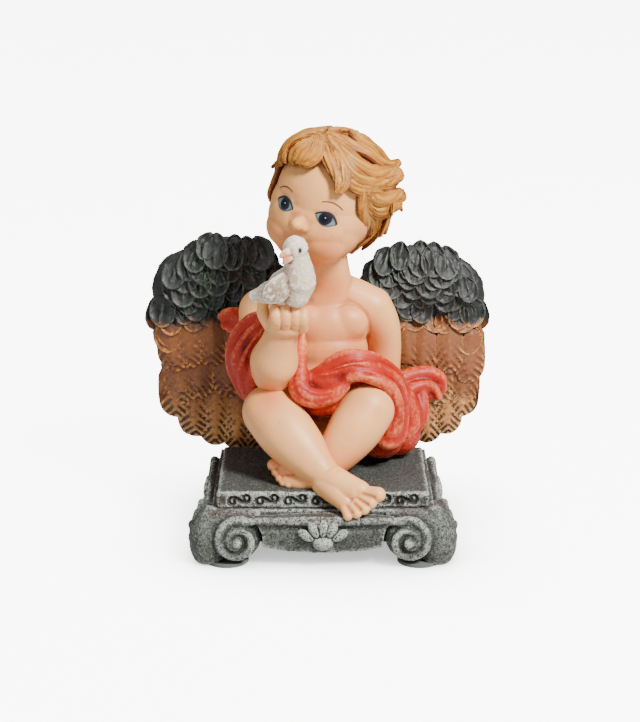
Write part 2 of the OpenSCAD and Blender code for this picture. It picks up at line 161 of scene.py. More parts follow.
def ball(place, at, half, turn=(0, 0, 0), fine=24):
    """A ball squeezed to three half sizes, turned in degrees, in the frame place."""
    deselect()
    bpy.ops.mesh.primitive_uv_sphere_add(segments=fine, ring_count=max(6, fine // 2), radius=1)
    made = bpy.context.object
    spin = Euler(tuple(math.radians(a) for a in turn)).to_matrix().to_4x4()
    made.data.transform(place @ Matrix.Translation(at) @ spin @ Matrix.Diagonal((*half, 1)))
    return made


def curve_through(knots, t):
    """Catmull-Rom values at t (0 to 1) through rows of knots."""
    knots = np.asarray(knots, float)
    if len(knots) == 2:
        return knots[0] + np.outer(t, knots[1] - knots[0])
    padded = np.vstack([2 * knots[0] - knots[1], knots, 2 * knots[-1] - knots[-2]])
    s = np.clip(t, 0, 1) * (len(knots) - 1)
    i = np.minimum(s.astype(int), len(knots) - 2)
    u = (s - i)[:, None]
    a, b, c, d = padded[i], padded[i + 1], padded[i + 2], padded[i + 3]
    return 0.5 * (2 * b + (c - a) * u + (2 * a - 5 * b + 4 * c - d) * u**2 + (3 * b - a - 3 * c + d) * u**3)


def unit(v):
    """Rows of vectors at a length of one."""
    return v / np.maximum(np.linalg.norm(v, axis=-1, keepdims=True), 1e-9)


def co_of(mesh):
    """The mesh's vertices as an array."""
    flat = np.empty(len(mesh.vertices) * 3)
    mesh.vertices.foreach_get("co", flat)
    return flat.reshape(-1, 3)


def set_co(mesh, co):
    """Moves the mesh's vertices to an array of places."""
    mesh.vertices.foreach_set("co", np.ascontiguousarray(co, float).ravel())
    mesh.update()


def normals_of(mesh):
    """The direction out of the surface at each vertex."""
    flat = np.empty(len(mesh.vertices) * 3)
    mesh.vertex_normals.foreach_get("vector", flat)
    return flat.reshape(-1, 3)


def to_place(place, points):
    """Points of the frame place, as metres in the object's frame."""
    m = np.array(place)
    return np.asarray(points, float) @ m[:3, :3].T + m[:3, 3]


def even_steps(rings):
    """Steps from 0 to 1 that are closer together at both ends."""
    t = np.linspace(0, 1, rings + 1)
    return t - 0.6 * np.sin(2 * math.pi * t) / (2 * math.pi)


def rolled(points, rings, blunt):
    """Steps along a tapered path whose ends are rounded off like balls.

    Returns the middle line, its direction and the radius at each step.
    """
    knots = np.asarray(points, float)
    ends = []
    for first, second in ((0, 1), (-1, -2)):
        away = unit(knots[first, :3] - knots[second, :3]) * knots[first, 3] * blunt
        ends.append(np.append(knots[first, :3] + away, knots[first, 3]))
    knots = np.vstack([ends[0], knots, ends[1]])
    dense = curve_through(knots, np.linspace(0, 1, 40 * len(knots)))
    step = np.linalg.norm(np.diff(dense[:, :3], axis=0), axis=1)
    run = np.concatenate([[0], np.cumsum(step)])
    t = even_steps(rings)
    at = np.stack([np.interp(t * run[-1], run, dense[:, k]) for k in range(4)], 1)
    along = unit(np.gradient(at[:, :3], axis=0))
    radius = at[:, 3].copy()
    for gap, size in ((t * run[-1], knots[0, 3] * blunt), ((1 - t) * run[-1], knots[-1, 3] * blunt)):
        inside = np.clip(gap / max(size, 1e-6), 0, 1)
        radius *= np.sqrt(np.clip(1 - (1 - inside) ** 2, 0, 1))
    return at[:, :3], along, radius


def ringed_ball(fine, rings):
    """A plain ball to shape, with the ring number and the turn of each of its vertices."""
    deselect()
    bpy.ops.mesh.primitive_uv_sphere_add(segments=fine, ring_count=rings, radius=1)
    made = bpy.context.object
    co = co_of(made.data)
    ring = np.rint(np.arccos(np.clip(co[:, 2], -1, 1)) / math.pi * rings).astype(int)
    return made, ring, np.arctan2(co[:, 1], co[:, 0])


def roll(place, points, flat=1.0, centre=None, fine=16, rings=28, blunt=1.0, relief=None):
    """A tapered roll with round ends through [x, y, z, radius] points.

    flat squeezes it from front to back, or along the line from centre where that is given.
    relief(made, ring, turn) gives how far its skin moves out, in millimetres.
    """
    made, ring, turn = ringed_ball(fine, rings)
    middle, along, radius = (values[ring] for values in rolled(points, rings, blunt))
    if centre is None:
        out = np.tile((0.0, -1.0, 0.0), (len(middle), 1))
    else:
        out = middle - np.asarray(centre, float)
    out = out - along * np.sum(out * along, 1)[:, None]
    weak = np.linalg.norm(out, axis=1) < 0.15
    out[weak] = np.cross(along[weak], (0.3, 0.1, 0.9))
    out = unit(out)
    side = np.cross(along, out)
    if relief:
        radius = radius + relief(made, ring, turn) * np.clip(radius, 0, 1)
    set_co(made.data, to_place(place, middle + radius[:, None] * (np.cos(turn)[:, None] * side
                                                                   + np.sin(turn)[:, None] * out * flat)))
    return made


def apply_all(made):
    """Applies the piece's modifiers in their order."""
    bpy.context.view_layer.objects.active = made
    for modifier in list(made.modifiers):
        bpy.ops.object.modifier_apply(modifier=modifier.name)


def join(pieces, name):
    """Joins pieces into one object of that name."""
    deselect()
    for piece in pieces:
        piece.select_set(True)
    bpy.context.view_layer.objects.active = pieces[0]
    if len(pieces) > 1:
        bpy.ops.object.join()
    made = bpy.context.object
    made.name = name
    made.data.name = name
    return made


def fuse(pieces, name, grain, soften=6):
    """Blends pieces into one skin at a grain in metres, then softens it."""
    made = join(pieces, name)
    blend = made.modifiers.new("Blend", "REMESH")
    blend.mode = "VOXEL"
    blend.voxel_size = grain
    blend.use_smooth_shade = True
    if soften:
        relax = made.modifiers.new("Soften", "SMOOTH")
        relax.factor = 0.5
        relax.iterations = soften
    apply_all(made)
    return made


def smooth_field(mesh, values, rounds):
    """Values at the vertices, averaged with their neighbours a number of times."""
    ends = np.empty(len(mesh.edges) * 2, int)
    mesh.edges.foreach_get("vertices", ends)
    a, b = ends.reshape(-1, 2).T
    count = np.bincount(a, minlength=len(mesh.vertices)) + np.bincount(b, minlength=len(mesh.vertices))
    count = np.maximum(count, 1)
    values = np.asarray(values, float)
    for _ in range(rounds):
        total = [np.bincount(a, values[b, k], len(count)) + np.bincount(b, values[a, k], len(count))
                 for k in range(values.shape[1])]
        values = 0.5 * values + 0.5 * np.stack(total, 1) / count[:, None]
    return values


def note(made, name, values):
    """Stores one number for each vertex, which the paint reads by its name."""
    layer = made.data.attributes.get(name) or made.data.attributes.new(name, "FLOAT", "POINT")
    layer.data.foreach_set("value", np.ascontiguousarray(values, dtype=np.float32))


def note_relief(made, rounds):
    """Stores how far each vertex stands above (+) or below (-) its surface smoothed that many rounds.

    The values are scaled so that all but the sharpest few lie between -0.5 and 0.5.
    """
    co = co_of(made.data)
    rise = np.sum((co - smooth_field(made.data, co, rounds)) * normals_of(made.data), 1) / MM
    note(made, "relief", 0.5 * rise / max(np.percentile(np.abs(rise), 92), 1e-6))


def distance_to(place, co, path, samples):
    """Millimetres from each vertex to a curve, and how far along it (0 to 1) the nearest point is."""
    t = np.linspace(0, 1, samples)
    line = to_place(place, curve_through([p[:3] for p in path], t))
    best = np.full(len(co), 1e9)
    where = np.zeros(len(co))
    for point, s in zip(line, t):
        gap = np.linalg.norm(co - point, axis=1)
        near = gap < best
        best[near] = gap[near]
        where[near] = s
    return best / MM, where


def press(made, place, path, depth, width, samples=60, taper=True):
    """Cuts a soft groove along a curve, or raises a ridge where depth is negative."""
    co = co_of(made.data)
    gap, where = distance_to(place, co, path, samples)
    fade = np.sin(np.clip(where, 0.02, 0.98) * math.pi) ** 0.5 if taper else 1
    push = depth * MM * np.exp(-((gap / width) ** 2)) * fade
    set_co(made.data, co - normals_of(made.data) * push[:, None])


def swell(made, place, at, radius, height):
    """Raises (or sinks) a soft bump at a point."""
    co = co_of(made.data)
    gap = np.linalg.norm(co - to_place(place, [at])[0], axis=1) / MM
    set_co(made.data, co + normals_of(made.data) * (height * MM * np.exp(-((gap / radius) ** 2)))[:, None])


def glow(made, name, place, spots):
    """Stores a soft paint mask made of [x, y, z, radius, strength] spots."""
    co = co_of(made.data)
    total = np.zeros(len(co))
    for x, y, z, radius, strength in spots:
        gap = np.linalg.norm(co - to_place(place, [(x, y, z)])[0], axis=1) / MM
        total += strength * np.exp(-((gap / radius) ** 2))
    note(made, name, np.clip(total, 0, 1.5))


def roughen(made, size, height, seed=0):
    """Moves the surface in and out by soft noise of a size, in millimetres."""
    co = co_of(made.data)
    shift = Vector((seed * 7.3, seed * 3.1, seed * 5.7))
    wave = np.array([noise.noise(Vector(c) / (size * MM) + shift) for c in co])
    set_co(made.data, co + normals_of(made.data) * (wave * height * MM)[:, None])


def split(made, place, point, normal, name):
    """Cuts a piece in two by a plane and closes both halves. Returns (the rest, the part beyond it)."""
    copy = made.copy()
    copy.data = made.data.copy()
    bpy.context.collection.objects.link(copy)
    copy.name = name
    copy.data.name = name
    m = np.array(place)
    at = to_place(place, [point])[0]
    out = unit(m[:3, :3] @ np.asarray(normal, float))
    for piece, beyond in ((made, False), (copy, True)):
        deselect()
        piece.select_set(True)
        bpy.context.view_layer.objects.active = piece
        bpy.ops.object.mode_set(mode="EDIT")
        bpy.ops.mesh.select_all(action="SELECT")
        bpy.ops.mesh.bisect(plane_co=at, plane_no=out, use_fill=True, clear_inner=beyond,
                            clear_outer=not beyond)
        bpy.ops.object.mode_set(mode="OBJECT")
    return made, copy


def finish_piece(made, slot, paint, *nodes):
    """Smooth-shades a piece, gives it its paint and ties it to the frame."""
    deselect()
    made.select_set(True)
    bpy.context.view_layer.objects.active = made
    bpy.ops.object.shade_smooth_by_angle(angle=SMOOTH_ANGLE)
    made.data.materials.clear()
    made.data.materials.append(paint)
    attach(made, "root")
    if nodes:
        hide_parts(*nodes)
    return made


# ---------------------------------------------------------------- paint tools


GLOSS_PATCHES = 600.0
FINE_GRIT = 1500.0


class Paint:
    """Builds one node tree, either a material or a shared group."""

    def __init__(self, tree):
        self.tree = tree

    def add(self, kind, **settings):
        """A new node with its settings."""
        node = self.tree.nodes.new(kind)
        for key, value in settings.items():
            setattr(node, key, value)
        return node

    def feed(self, socket, value):
        """Links another socket to this one, or sets its value."""
        if isinstance(value, bpy.types.NodeSocket):
            self.tree.links.new(value, socket)
        elif value is not None:
            if socket.type == "RGBA" and len(value) == 3:
                value = (*value, 1)
            socket.default_value = value

    def sum(self, operation, a, b=None, c=None):
        """The result of one Math node."""
        node = self.add("ShaderNodeMath", operation=operation)
        for socket, value in zip(node.inputs, (a, b, c)):
            self.feed(socket, value)
        return node.outputs[0]

    def ramp(self, value, low, high):
        """0 below low, 1 above high, eased between."""
        node = self.add("ShaderNodeMapRange", interpolation_type="SMOOTHSTEP")
        for key, number in (("Value", value), ("From Min", low), ("From Max", high), ("To Min", 0.0),
                            ("To Max", 1.0)):
            self.feed(node.inputs[key], number)
        return node.outputs[0]

    def times(self, a, b):
        return self.sum("MULTIPLY", a, b)

    def less(self, a, b):
        """a with b taken away."""
        return self.sum("SUBTRACT", a, b)

    def invert(self, mask):
        """1 where the mask is 0."""
        return self.less(1.0, mask)

    def mix(self, factor, a, b):
        """Colour a, or colour b where the factor is 1."""
        node = self.add("ShaderNodeMix", data_type="RGBA", blend_type="MIX")
        for socket, value in zip((node.inputs[0], node.inputs[6], node.inputs[7]), (factor, a, b)):
            self.feed(socket, value)
        return node.outputs[2]

    def spots(self, scale, detail=2.0, rough=0.5):
        """Soft noise from 0 to 1."""
        node = self.add("ShaderNodeTexNoise")
        node.inputs["Scale"].default_value = scale
        node.inputs["Detail"].default_value = detail
        node.inputs["Roughness"].default_value = rough
        self.feed(node.inputs["Vector"], self.place())
        return node.outputs["Fac"]

    def place(self):
        """The place on the object, in metres."""
        return self.add("ShaderNodeTexCoord").outputs["Object"]

    def height(self):
        """Height above the table, in millimetres."""
        node = self.add("ShaderNodeSeparateXYZ")
        self.feed(node.inputs[0], self.place())
        return self.times(node.outputs["Z"], 1 / MM)

    def stored(self, name):
        """A number stored in the mesh by note."""
        return self.add("ShaderNodeAttribute", attribute_name=name).outputs["Fac"]

    def group(self, tree, **values):
        """A shared group with its own values. Spaces in its socket names are written as underscores."""
        node = self.add("ShaderNodeGroup")
        node.node_tree = tree
        for key, value in values.items():
            self.feed(node.inputs[key.replace("_", " ")], value)
        return node

    def bump(self, height, distance):
        """A bump of a depth in millimetres."""
        node = self.add("ShaderNodeBump")
        node.inputs["Strength"].default_value = 1.0
        node.inputs["Distance"].default_value = distance * MM
        self.feed(node.inputs["Height"], height)
        return node.outputs[0]


def new_group(name, inputs, outputs):
    """An empty shared group. inputs are (name, kind, default) and outputs are (name, kind)."""
    tree = bpy.data.node_groups.new(name, "ShaderNodeTree")
    kinds = {"value": "NodeSocketFloat", "colour": "NodeSocketColor", "vector": "NodeSocketVector"}
    for label, kind, default in inputs:
        socket = tree.interface.new_socket(label, in_out="INPUT", socket_type=kinds[kind])
        if default is not None:
            socket.default_value = default
    for label, kind in outputs:
        tree.interface.new_socket(label, in_out="OUTPUT", socket_type=kinds[kind])
    return tree, Paint(tree), tree.nodes.new("NodeGroupInput"), tree.nodes.new("NodeGroupOutput")


def wash_group():
    """Paint with a dark wash in its hollows and a pale dry brush on its ridges."""
    made = bpy.data.node_groups.get("wash_and_dry_brush")
    if made:
        return made
    tree, p, come, go = new_group(
        "wash_and_dry_brush",
        [("Relief", "value", 0.0), ("Base", "colour", None), ("Hollow", "colour", None),
         ("Ridge", "colour", None), ("Hollow depth", "value", 0.3), ("Ridge height", "value", 0.3),
         ("Patchy", "value", 0.5)],
        [("Colour", "colour"), ("Hollow mask", "value"), ("Ridge mask", "value")])
    patch = p.spots(900.0, 3.0, 0.6)
    shift = p.times(p.less(patch, 0.5), come.outputs["Patchy"])
    relief = p.sum("ADD", come.outputs["Relief"], p.times(shift, come.outputs["Ridge height"]))
    low = p.times(come.outputs["Hollow depth"], -1.0)
    hollow = p.invert(p.ramp(relief, low, 0.0))
    ridge = p.ramp(relief, p.times(come.outputs["Ridge height"], 0.15), come.outputs["Ridge height"])
    shade = p.mix(hollow, come.outputs["Base"], come.outputs["Hollow"])
    p.feed(go.inputs["Colour"], p.mix(ridge, shade, come.outputs["Ridge"]))
    p.feed(go.inputs["Hollow mask"], hollow)
    p.feed(go.inputs["Ridge mask"], ridge)
    return tree


def spatter_group():
    """Irregular specks of flicked paint, 1 on a speck."""
    made = bpy.data.node_groups.get("spatter_specks")
    if made:
        return made
    tree, p, come, go = new_group(
        "spatter_specks", [("Scale", "value", 1500.0), ("Cover", "value", 0.3)], [("Specks", "value")])
    cells = p.add("ShaderNodeTexNoise")
    cells.inputs["Detail"].default_value = 2.5
    cells.inputs["Roughness"].default_value = 0.65
    p.feed(cells.inputs["Scale"], come.outputs["Scale"])
    p.feed(cells.inputs["Vector"], p.place())
    edge = p.less(0.72, p.times(come.outputs["Cover"], 0.5))
    p.feed(go.inputs["Specks"], p.ramp(cells.outputs["Fac"], edge, p.sum("ADD", edge, 0.035)))
    return tree


def line_group():
    """A painted eye or brow on the head frame's X (U) and Z (V), in millimetres.

    Up and Down are the lids' heights over and under the line between the corners. Cos and Sin are of
    the tilt.
    """
    made = bpy.data.node_groups.get("painted_eye")
    if made:
        return made
    tree, p, come, go = new_group(
        "painted_eye",
        [("Place", "vector", None), ("U", "value", 0.0), ("V", "value", 0.0), ("Wide", "value", 3.0),
         ("Up", "value", 1.4), ("Down", "value", 1.4), ("Cos", "value", 1.0), ("Sin", "value", 0.0),
         ("Iris U", "value", 0.0), ("Iris V", "value", 0.0), ("Iris size", "value", 1.4)],
        [("White", "value"), ("Iris", "value"), ("Pupil", "value"), ("Glint", "value"), ("Lid", "value"),
         ("Lower line", "value"), ("Crease", "value")])
    apart = p.add("ShaderNodeSeparateXYZ")
    p.feed(apart.inputs[0], come.outputs["Place"])
    du = p.less(apart.outputs["X"], come.outputs["U"])
    dv = p.less(apart.outputs["Z"], come.outputs["V"])
    cos, sin = come.outputs["Cos"], come.outputs["Sin"]
    u = p.sum("ADD", p.times(du, cos), p.times(dv, sin))
    v = p.less(p.times(dv, cos), p.times(du, sin))
    run = p.sum("DIVIDE", u, come.outputs["Wide"])
    arch = p.less(1.0, p.times(run, run))
    front = p.sum("LESS_THAN", apart.outputs["Y"], -6.0)
    across = p.times(front, p.ramp(arch, -0.12, 0.02))
    top = p.times(come.outputs["Up"], arch)
    low = p.times(p.times(come.outputs["Down"], arch), -1.0)

    def line(level, thick):
        gap = p.sum("ABSOLUTE", p.less(v, level))
        return p.times(across, p.invert(p.ramp(gap, thick * 0.5, thick)))

    def disc(away, inner, outer):
        return p.invert(p.ramp(away, inner, outer))

    under_top, over_low = (p.ramp(p.less(*pair), -0.05, 0.05) for pair in ((top, v), (v, low)))
    white = p.times(p.times(under_top, over_low), across)
    iu, iv = p.less(u, come.outputs["Iris U"]), p.less(v, come.outputs["Iris V"])
    away = p.sum("SQRT", p.sum("ADD", p.times(iu, iu), p.times(iv, iv)))
    size = come.outputs["Iris size"]
    iris = disc(away, p.times(size, 0.9), p.times(size, 1.06))
    pupil = disc(away, p.times(size, 0.5), p.times(size, 0.62))
    gu, gv = p.sum("ADD", iu, 0.05), p.less(iv, 0.3)
    spot = p.sum("SQRT", p.sum("ADD", p.times(gu, gu), p.times(gv, gv)))
    p.feed(go.inputs["White"], white)
    for name, mask in (("Iris", iris), ("Pupil", pupil), ("Glint", disc(spot, 0.08, 0.22))):
        p.feed(go.inputs[name], p.times(mask, white))
    for name, level, thick in (("Lid", top, 0.55), ("Lower line", low, 0.34),
                               ("Crease", p.sum("ADD", top, 0.85), 0.5)):
        p.feed(go.inputs[name], line(level, thick))
    return tree


def new_paint(name, roughness):
    """A material with a Principled BSDF. Returns (material, paint builder, its shader node)."""
    material = bpy.data.materials.new(name)
    material.use_nodes = True
    shader = material.node_tree.nodes["Principled BSDF"]
    shader.inputs["Roughness"].default_value = roughness
    return material, Paint(material.node_tree), shader


def shade_of(paint, times):
    """A colour made darker or lighter."""
    return tuple(min(1, value * times) for value in paint)


def uneven_gloss(p, shader, middle, spread):
    """Roughness that varies softly over the paint."""
    patches = p.less(p.spots(GLOSS_PATCHES), 0.5)
    p.feed(shader.inputs["Roughness"], p.sum("MULTIPLY_ADD", patches, spread, middle))


def stone_paint():
    """Grey-green stone with a dark wash, a pale dry brush, specks and rust on the ledge."""
    made = bpy.data.materials.get("speckled_stone")
    if made:
        return made
    c = colours()
    made, p, shader = new_paint("speckled_stone", 0.8)
    coarse = p.spots(140.0, 4.0, 0.6)
    base = p.mix(p.ramp(coarse, 0.35, 0.7), shade_of(c.stone, 0.62), shade_of(c.stone, 1.35))
    tall = p.height()
    under_top = p.invert(p.ramp(tall, SLAB_HIGH[2] - 1.4, SLAB_HIGH[2] - 0.6))
    ledge = p.times(p.ramp(tall, LEDGE_Z - 1.2, LEDGE_Z - 0.2), under_top)
    rust = p.times(p.ramp(p.spots(70.0, 3.0), 0.38, 0.6), p.sum("MULTIPLY_ADD", ledge, 0.8, 0.2))
    base = p.mix(rust, base, c.stone_rust)
    top = p.times(p.ramp(tall, SLAB_HIGH[2] - 0.5, SLAB_HIGH[2] - 0.1), p.ramp(coarse, 0.3, 0.5))
    base = p.mix(p.times(top, 0.75), base, shade_of(c.stone, 0.42))
    layer = p.group(wash_group(), Relief=p.stored("relief"), Base=base, Hollow=shade_of(c.stone, 0.28),
                    Ridge=c.stone_light, Hollow_depth=0.2, Ridge_height=0.7, Patchy=1.0)
    pale = p.group(spatter_group(), Scale=1900.0, Cover=0.28)
    dark = p.group(spatter_group(), Scale=2100.0, Cover=0.37)
    flecked = p.mix(p.times(pale.outputs[0], 0.3), layer.outputs["Colour"], c.stone_light)
    done = p.mix(p.times(dark.outputs[0], 0.93), flecked, c.spatter)
    p.feed(shader.inputs["Base Color"], done)
    uneven_gloss(p, shader, 0.72, 0.3)
    grit = p.sum("ADD", p.spots(FINE_GRIT, 3.0, 0.7), p.times(dark.outputs[0], -0.5))
    p.feed(shader.inputs["Normal"], p.bump(grit, 0.22))
    return made


def skin_layers(p, wash):
    """Flesh paint: a rosy airbrush that also paints shade at the throat and under the arms, warm hollows of a
    strength that are partly airbrush and partly painted shade, and faint mottling.
    """
    c = colours()
    mottled = p.mix(p.ramp(p.spots(160.0, 3.0), 0.3, 0.75), shade_of(c.skin, 0.95), shade_of(c.skin, 1.06))
    tinted_and_shaded = p.mix(p.times(p.stored("blush_and_shade"), 0.7), mottled, c.blush_and_shade)
    # The hollows are darkened towards the warm colour: partly airbrush, partly painted shade.
    hollow = p.ramp(p.stored("relief"), 0.0, -0.42)
    warm = p.mix(p.times(hollow, wash), tinted_and_shaded, c.skin_warm_and_shade)
    speck = p.group(spatter_group(), Scale=420.0, Cover=0.02)
    return p.mix(p.times(speck.outputs[0], 0.35), warm, c.skin_warm_and_shade)


def skin_paint():
    """The paint of the body."""
    made = bpy.data.materials.get("airbrushed_flesh_with_painted_shade")
    if made:
        return made
    made, p, shader = new_paint("airbrushed_flesh_with_painted_shade", 0.5)
    p.feed(shader.inputs["Base Color"], skin_layers(p, 0.75))
    uneven_gloss(p, shader, 0.47, 0.16)
    p.feed(shader.inputs["Normal"], p.bump(p.spots(700.0, 3.0), 0.05))
    return made


EYE_SHADOW, BROW_BROWN = (0.34, 0.14, 0.11), (0.12, 0.035, 0.014)
EYE_PAINTS = [
    # mark, paint and strength, in the order that they are laid on
    ("Crease", (0.30, 0.16, 0.17), 0.3), ("White", (0.12, 0.165, 0.17), 1),
    ("Iris", (0.003, 0.0055, 0.015), 1), ("Pupil", (0.001, 0.001, 0.0015), 1),
    ("Glint", (0.45, 0.55, 0.62), 1), ("Lower line", (0.02, 0.035, 0.05), 0.8),
    ("Lid", (0.008, 0.009, 0.015), 0.96),
]
# The nostril mark is painted shade in the nostrils.
FACE_MARKS = [("lips", (0.52, 0.13, 0.10), 0.85), ("nostril_shade", (0.17, 0.045, 0.02), 0.9)]


def face_paint():
    """The paint of the head, with its eyes, brows and lips drawn on."""
    made = bpy.data.materials.get("painted_face")
    if made:
        return made
    made, p, shader = new_paint("painted_face", 0.45)
    shader.inputs["Specular IOR Level"].default_value = 0.25
    turn = p.add("ShaderNodeMapping", vector_type="TEXTURE")
    p.feed(turn.inputs["Vector"], p.place())
    turn.inputs["Location"].default_value = HEAD_FRAME.to_translation()
    turn.inputs["Rotation"].default_value = HEAD_TURN
    turn.inputs["Scale"].default_value = (MM, MM, MM)
    place = turn.outputs[0]
    shade = skin_layers(p, 0.35)
    shade = p.mix(p.times(p.stored("eye_shadow"), 0.6), shade, EYE_SHADOW)
    for u, v, wide, tilt, iris_u, iris_size in EYES:
        eye = p.group(line_group(), Place=place, U=u, V=v, Wide=wide, Up=1.95, Down=1.8, Cos=math.cos(tilt),
                      Sin=math.sin(tilt), Iris_U=iris_u, Iris_V=0.12, Iris_size=iris_size)
        for mark, paint, strength in EYE_PAINTS:
            shade = p.mix(p.times(eye.outputs[mark], strength), shade, paint)
    for u, v, wide, tilt in BROWS:
        brow = p.group(line_group(), Place=place, U=u, V=v, Wide=wide, Up=0.0, Down=-1.0, Cos=math.cos(tilt),
                       Sin=math.sin(tilt), Iris_size=0.1)
        shade = p.mix(p.times(brow.outputs["Lower line"], 0.9), shade, BROW_BROWN)
    for mark, paint, strength in FACE_MARKS:
        shade = p.mix(p.times(p.stored(mark), strength), shade, paint)
    p.feed(shader.inputs["Base Color"], shade)
    uneven_gloss(p, shader, 0.44, 0.14)
    p.feed(shader.inputs["Normal"], p.bump(p.spots(700.0, 3.0), 0.04))
    return made


def brushed_paint(name, base, hollow, ridge, depth, height, vary, low=None):
    """Paint with a wash in the hollows and a dry brush on the ridges, softly uneven.

    low is another colour with the heights on the table between which it fades in downwards.
    """
    made = bpy.data.materials.get(name)
    if made:
        return made
    made, p, shader = new_paint(name, 0.5)
    shader.inputs["Specular IOR Level"].default_value = 0.3
    uneven = p.ramp(p.spots(160.0, 3.0), 0.3, 0.7)
    ground = p.mix(uneven, shade_of(base, 1 - vary), shade_of(base, 1 + vary))
    if low:
        shade, bottom, top = low
        drift = p.sum("MULTIPLY_ADD", p.less(p.spots(90.0, 2.0), 0.5), 8.0, p.height())
        fade = p.invert(p.ramp(drift, bottom, top))
        ground = p.mix(fade, ground, shade)
        ridge = p.mix(fade, ridge, shade_of(shade, 1.9))
    layer = p.group(wash_group(), Relief=p.stored("relief"), Base=ground, Hollow=hollow, Ridge=ridge,
                    Hollow_depth=depth, Ridge_height=height, Patchy=1.2)
    p.feed(shader.inputs["Base Color"], layer.outputs["Colour"])
    uneven_gloss(p, shader, 0.5, 0.2)
    p.feed(shader.inputs["Normal"], p.bump(p.spots(800.0, 3.0, 0.6), 0.07))
    return made


DARK_FEATHERS_FROM = (58.5, 63.0)
TAN_FEATHERS_BELOW = (24.0, 44.0)


def feather_paint():
    """Dark shoulders that turn to amber and then to tan tips, with washed grooves and brushed rims."""
    made = bpy.data.materials.get("washed_feathers")
    if made:
        return made
    c = colours()
    made, p, shader = new_paint("washed_feathers", 0.62)
    drift = p.sum("MULTIPLY_ADD", p.less(p.spots(110.0, 3.0, 0.6), 0.5), 15.0, p.height())
    dark = p.ramp(drift, *DARK_FEATHERS_FROM)
    tan = p.invert(p.ramp(drift, *TAN_FEATHERS_BELOW))
    green = p.times(p.ramp(p.spots(60.0, 2.0), 0.46, 0.66), 0.7)
    ground = p.mix(tan, c.feather_amber, c.feather_tan)
    ground = p.mix(dark, ground, c.feather_dark)
    edge = p.mix(tan, c.feather_amber_edge, c.feather_tan_edge)
    edge = p.mix(dark, edge, p.mix(green, c.feather_dark_edge, c.feather_green))
    groove = p.mix(tan, c.feather_amber_groove, c.feather_tan_groove)
    groove = p.mix(dark, groove, c.feather_dark_groove)
    layer = p.group(wash_group(), Relief=p.stored("relief"), Base=ground, Hollow=groove, Ridge=edge,
                    Hollow_depth=0.26, Ridge_height=0.42, Patchy=2.4)
    p.feed(shader.inputs["Base Color"], layer.outputs["Colour"])
    uneven_gloss(p, shader, 0.6, 0.24)
    p.feed(shader.inputs["Normal"], p.bump(p.spots(900.0, 3.0, 0.65), 0.12))
    return made


def dove_paint():
    """Gritty off-white with a brown wash, a pink beak and dark eyes."""
    made = bpy.data.materials.get("gritty_white")
    if made:
        return made
    c = colours()
    made, p, shader = new_paint("gritty_white", 0.75)
    ground = p.mix(p.ramp(p.spots(300.0, 3.0), 0.3, 0.7), shade_of(c.dove, 0.9), c.dove)
    ground = p.mix(p.times(p.stored("wing_wash"), 0.6), ground, c.dove_wash)
    layer = p.group(wash_group(), Relief=p.stored("relief"), Base=ground, Hollow=c.dove_wash,
                    Ridge=c.dove_light, Hollow_depth=0.6, Ridge_height=0.5, Patchy=1.0)
    speck = p.group(spatter_group(), Scale=1900.0, Cover=0.10)
    shade = p.mix(p.times(speck.outputs[0], 0.5), layer.outputs["Colour"], c.dove_speck)
    shade = p.mix(p.stored("beak"), shade, c.beak)
    shade = p.mix(p.stored("dark"), shade, c.dove_eye)
    p.feed(shader.inputs["Base Color"], shade)
    uneven_gloss(p, shader, 0.72, 0.2)
    p.feed(shader.inputs["Normal"], p.bump(p.spots(FINE_GRIT, 3.0, 0.7), 0.28))
    return made


def rubber_paint():
    """Plain dark rubber."""
    made, _, shader = new_paint("dark_rubber", 0.85)
    shader.inputs["Base Color"].default_value = (*colours().rubber, 1)
    return made


# ------------------------------------------------------------------- pedestal


SCROLL_Z = 8.5
FRONT_SCROLL_X = 25.7
SIDE_SCROLL_Y = 19.7
SCROLL_SIZE = 7.4
CORE_HALF_W, CORE_HALF_D = 35.5, 29.5
FRONT_AND_REAR = [
    # turn, half size of the core, half length of the rails, how far the rails and the palmette stand out
    (0, CORE_HALF_D, 20, 4.0, 4.2), (180, CORE_HALF_D, 20, 4.0, 4.2),
]
SIDES = [(90, CORE_HALF_W, 13, 0.3, 0.4), (270, CORE_HALF_W, 13, 0.3, 0.4)]
PALMETTE_Z = 8.8
PETAL_LEANS = ((-66, 5.6), (-30, 5.5), (0, 5.4), (30, 5.5), (66, 5.6))
PETAL_SQUASH = 0.72


def cad_clay(node):
    """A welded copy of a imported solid, as clay to work on."""
    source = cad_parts[node]
    deselect()
    made = bpy.data.objects.new(node + "_clay", source.data.copy())
    bpy.context.collection.objects.link(made)
    made.select_set(True)
    bpy.context.view_layer.objects.active = made
    bpy.ops.object.mode_set(mode="EDIT")
    bpy.ops.mesh.select_all(action="SELECT")
    bpy.ops.mesh.remove_doubles(threshold=1e-6)
    bpy.ops.mesh.normals_make_consistent(inside=False)
    bpy.ops.object.mode_set(mode="OBJECT")
    return made


def side_frame(turn, half):
    """A frame whose -Y faces out of one side of the pedestal and whose origin is on that side's core."""
    return TABLE_FRAME @ Matrix.Rotation(math.radians(turn), 4, "Z") @ Matrix.Translation((0, -half, 0))


# How far a corner's face stands out of the core, as (height, distance) on each side of the pedestal.
FRONT_BULGE = ((0, 3.2), (2, 4.4), (5, 5.3), (8, 5.5), (12, 4.9), (16, 3.4))
SIDE_BULGE = ((0, 1.6), (1, 2.9), (4, 4.7), (6.6, 4.8), (11, 3.6), (16, 1.5))
REAR_BULGE = ((0, 0.4), (4, 1.2), (8, 1.4), (12, 1.1), (16, 0.3))


def bulge_at(bulge, z):
    """How far a corner's face stands out of the core at a height."""
    return float(np.interp(z, [b[0] for b in bulge], [b[1] for b in bulge]))


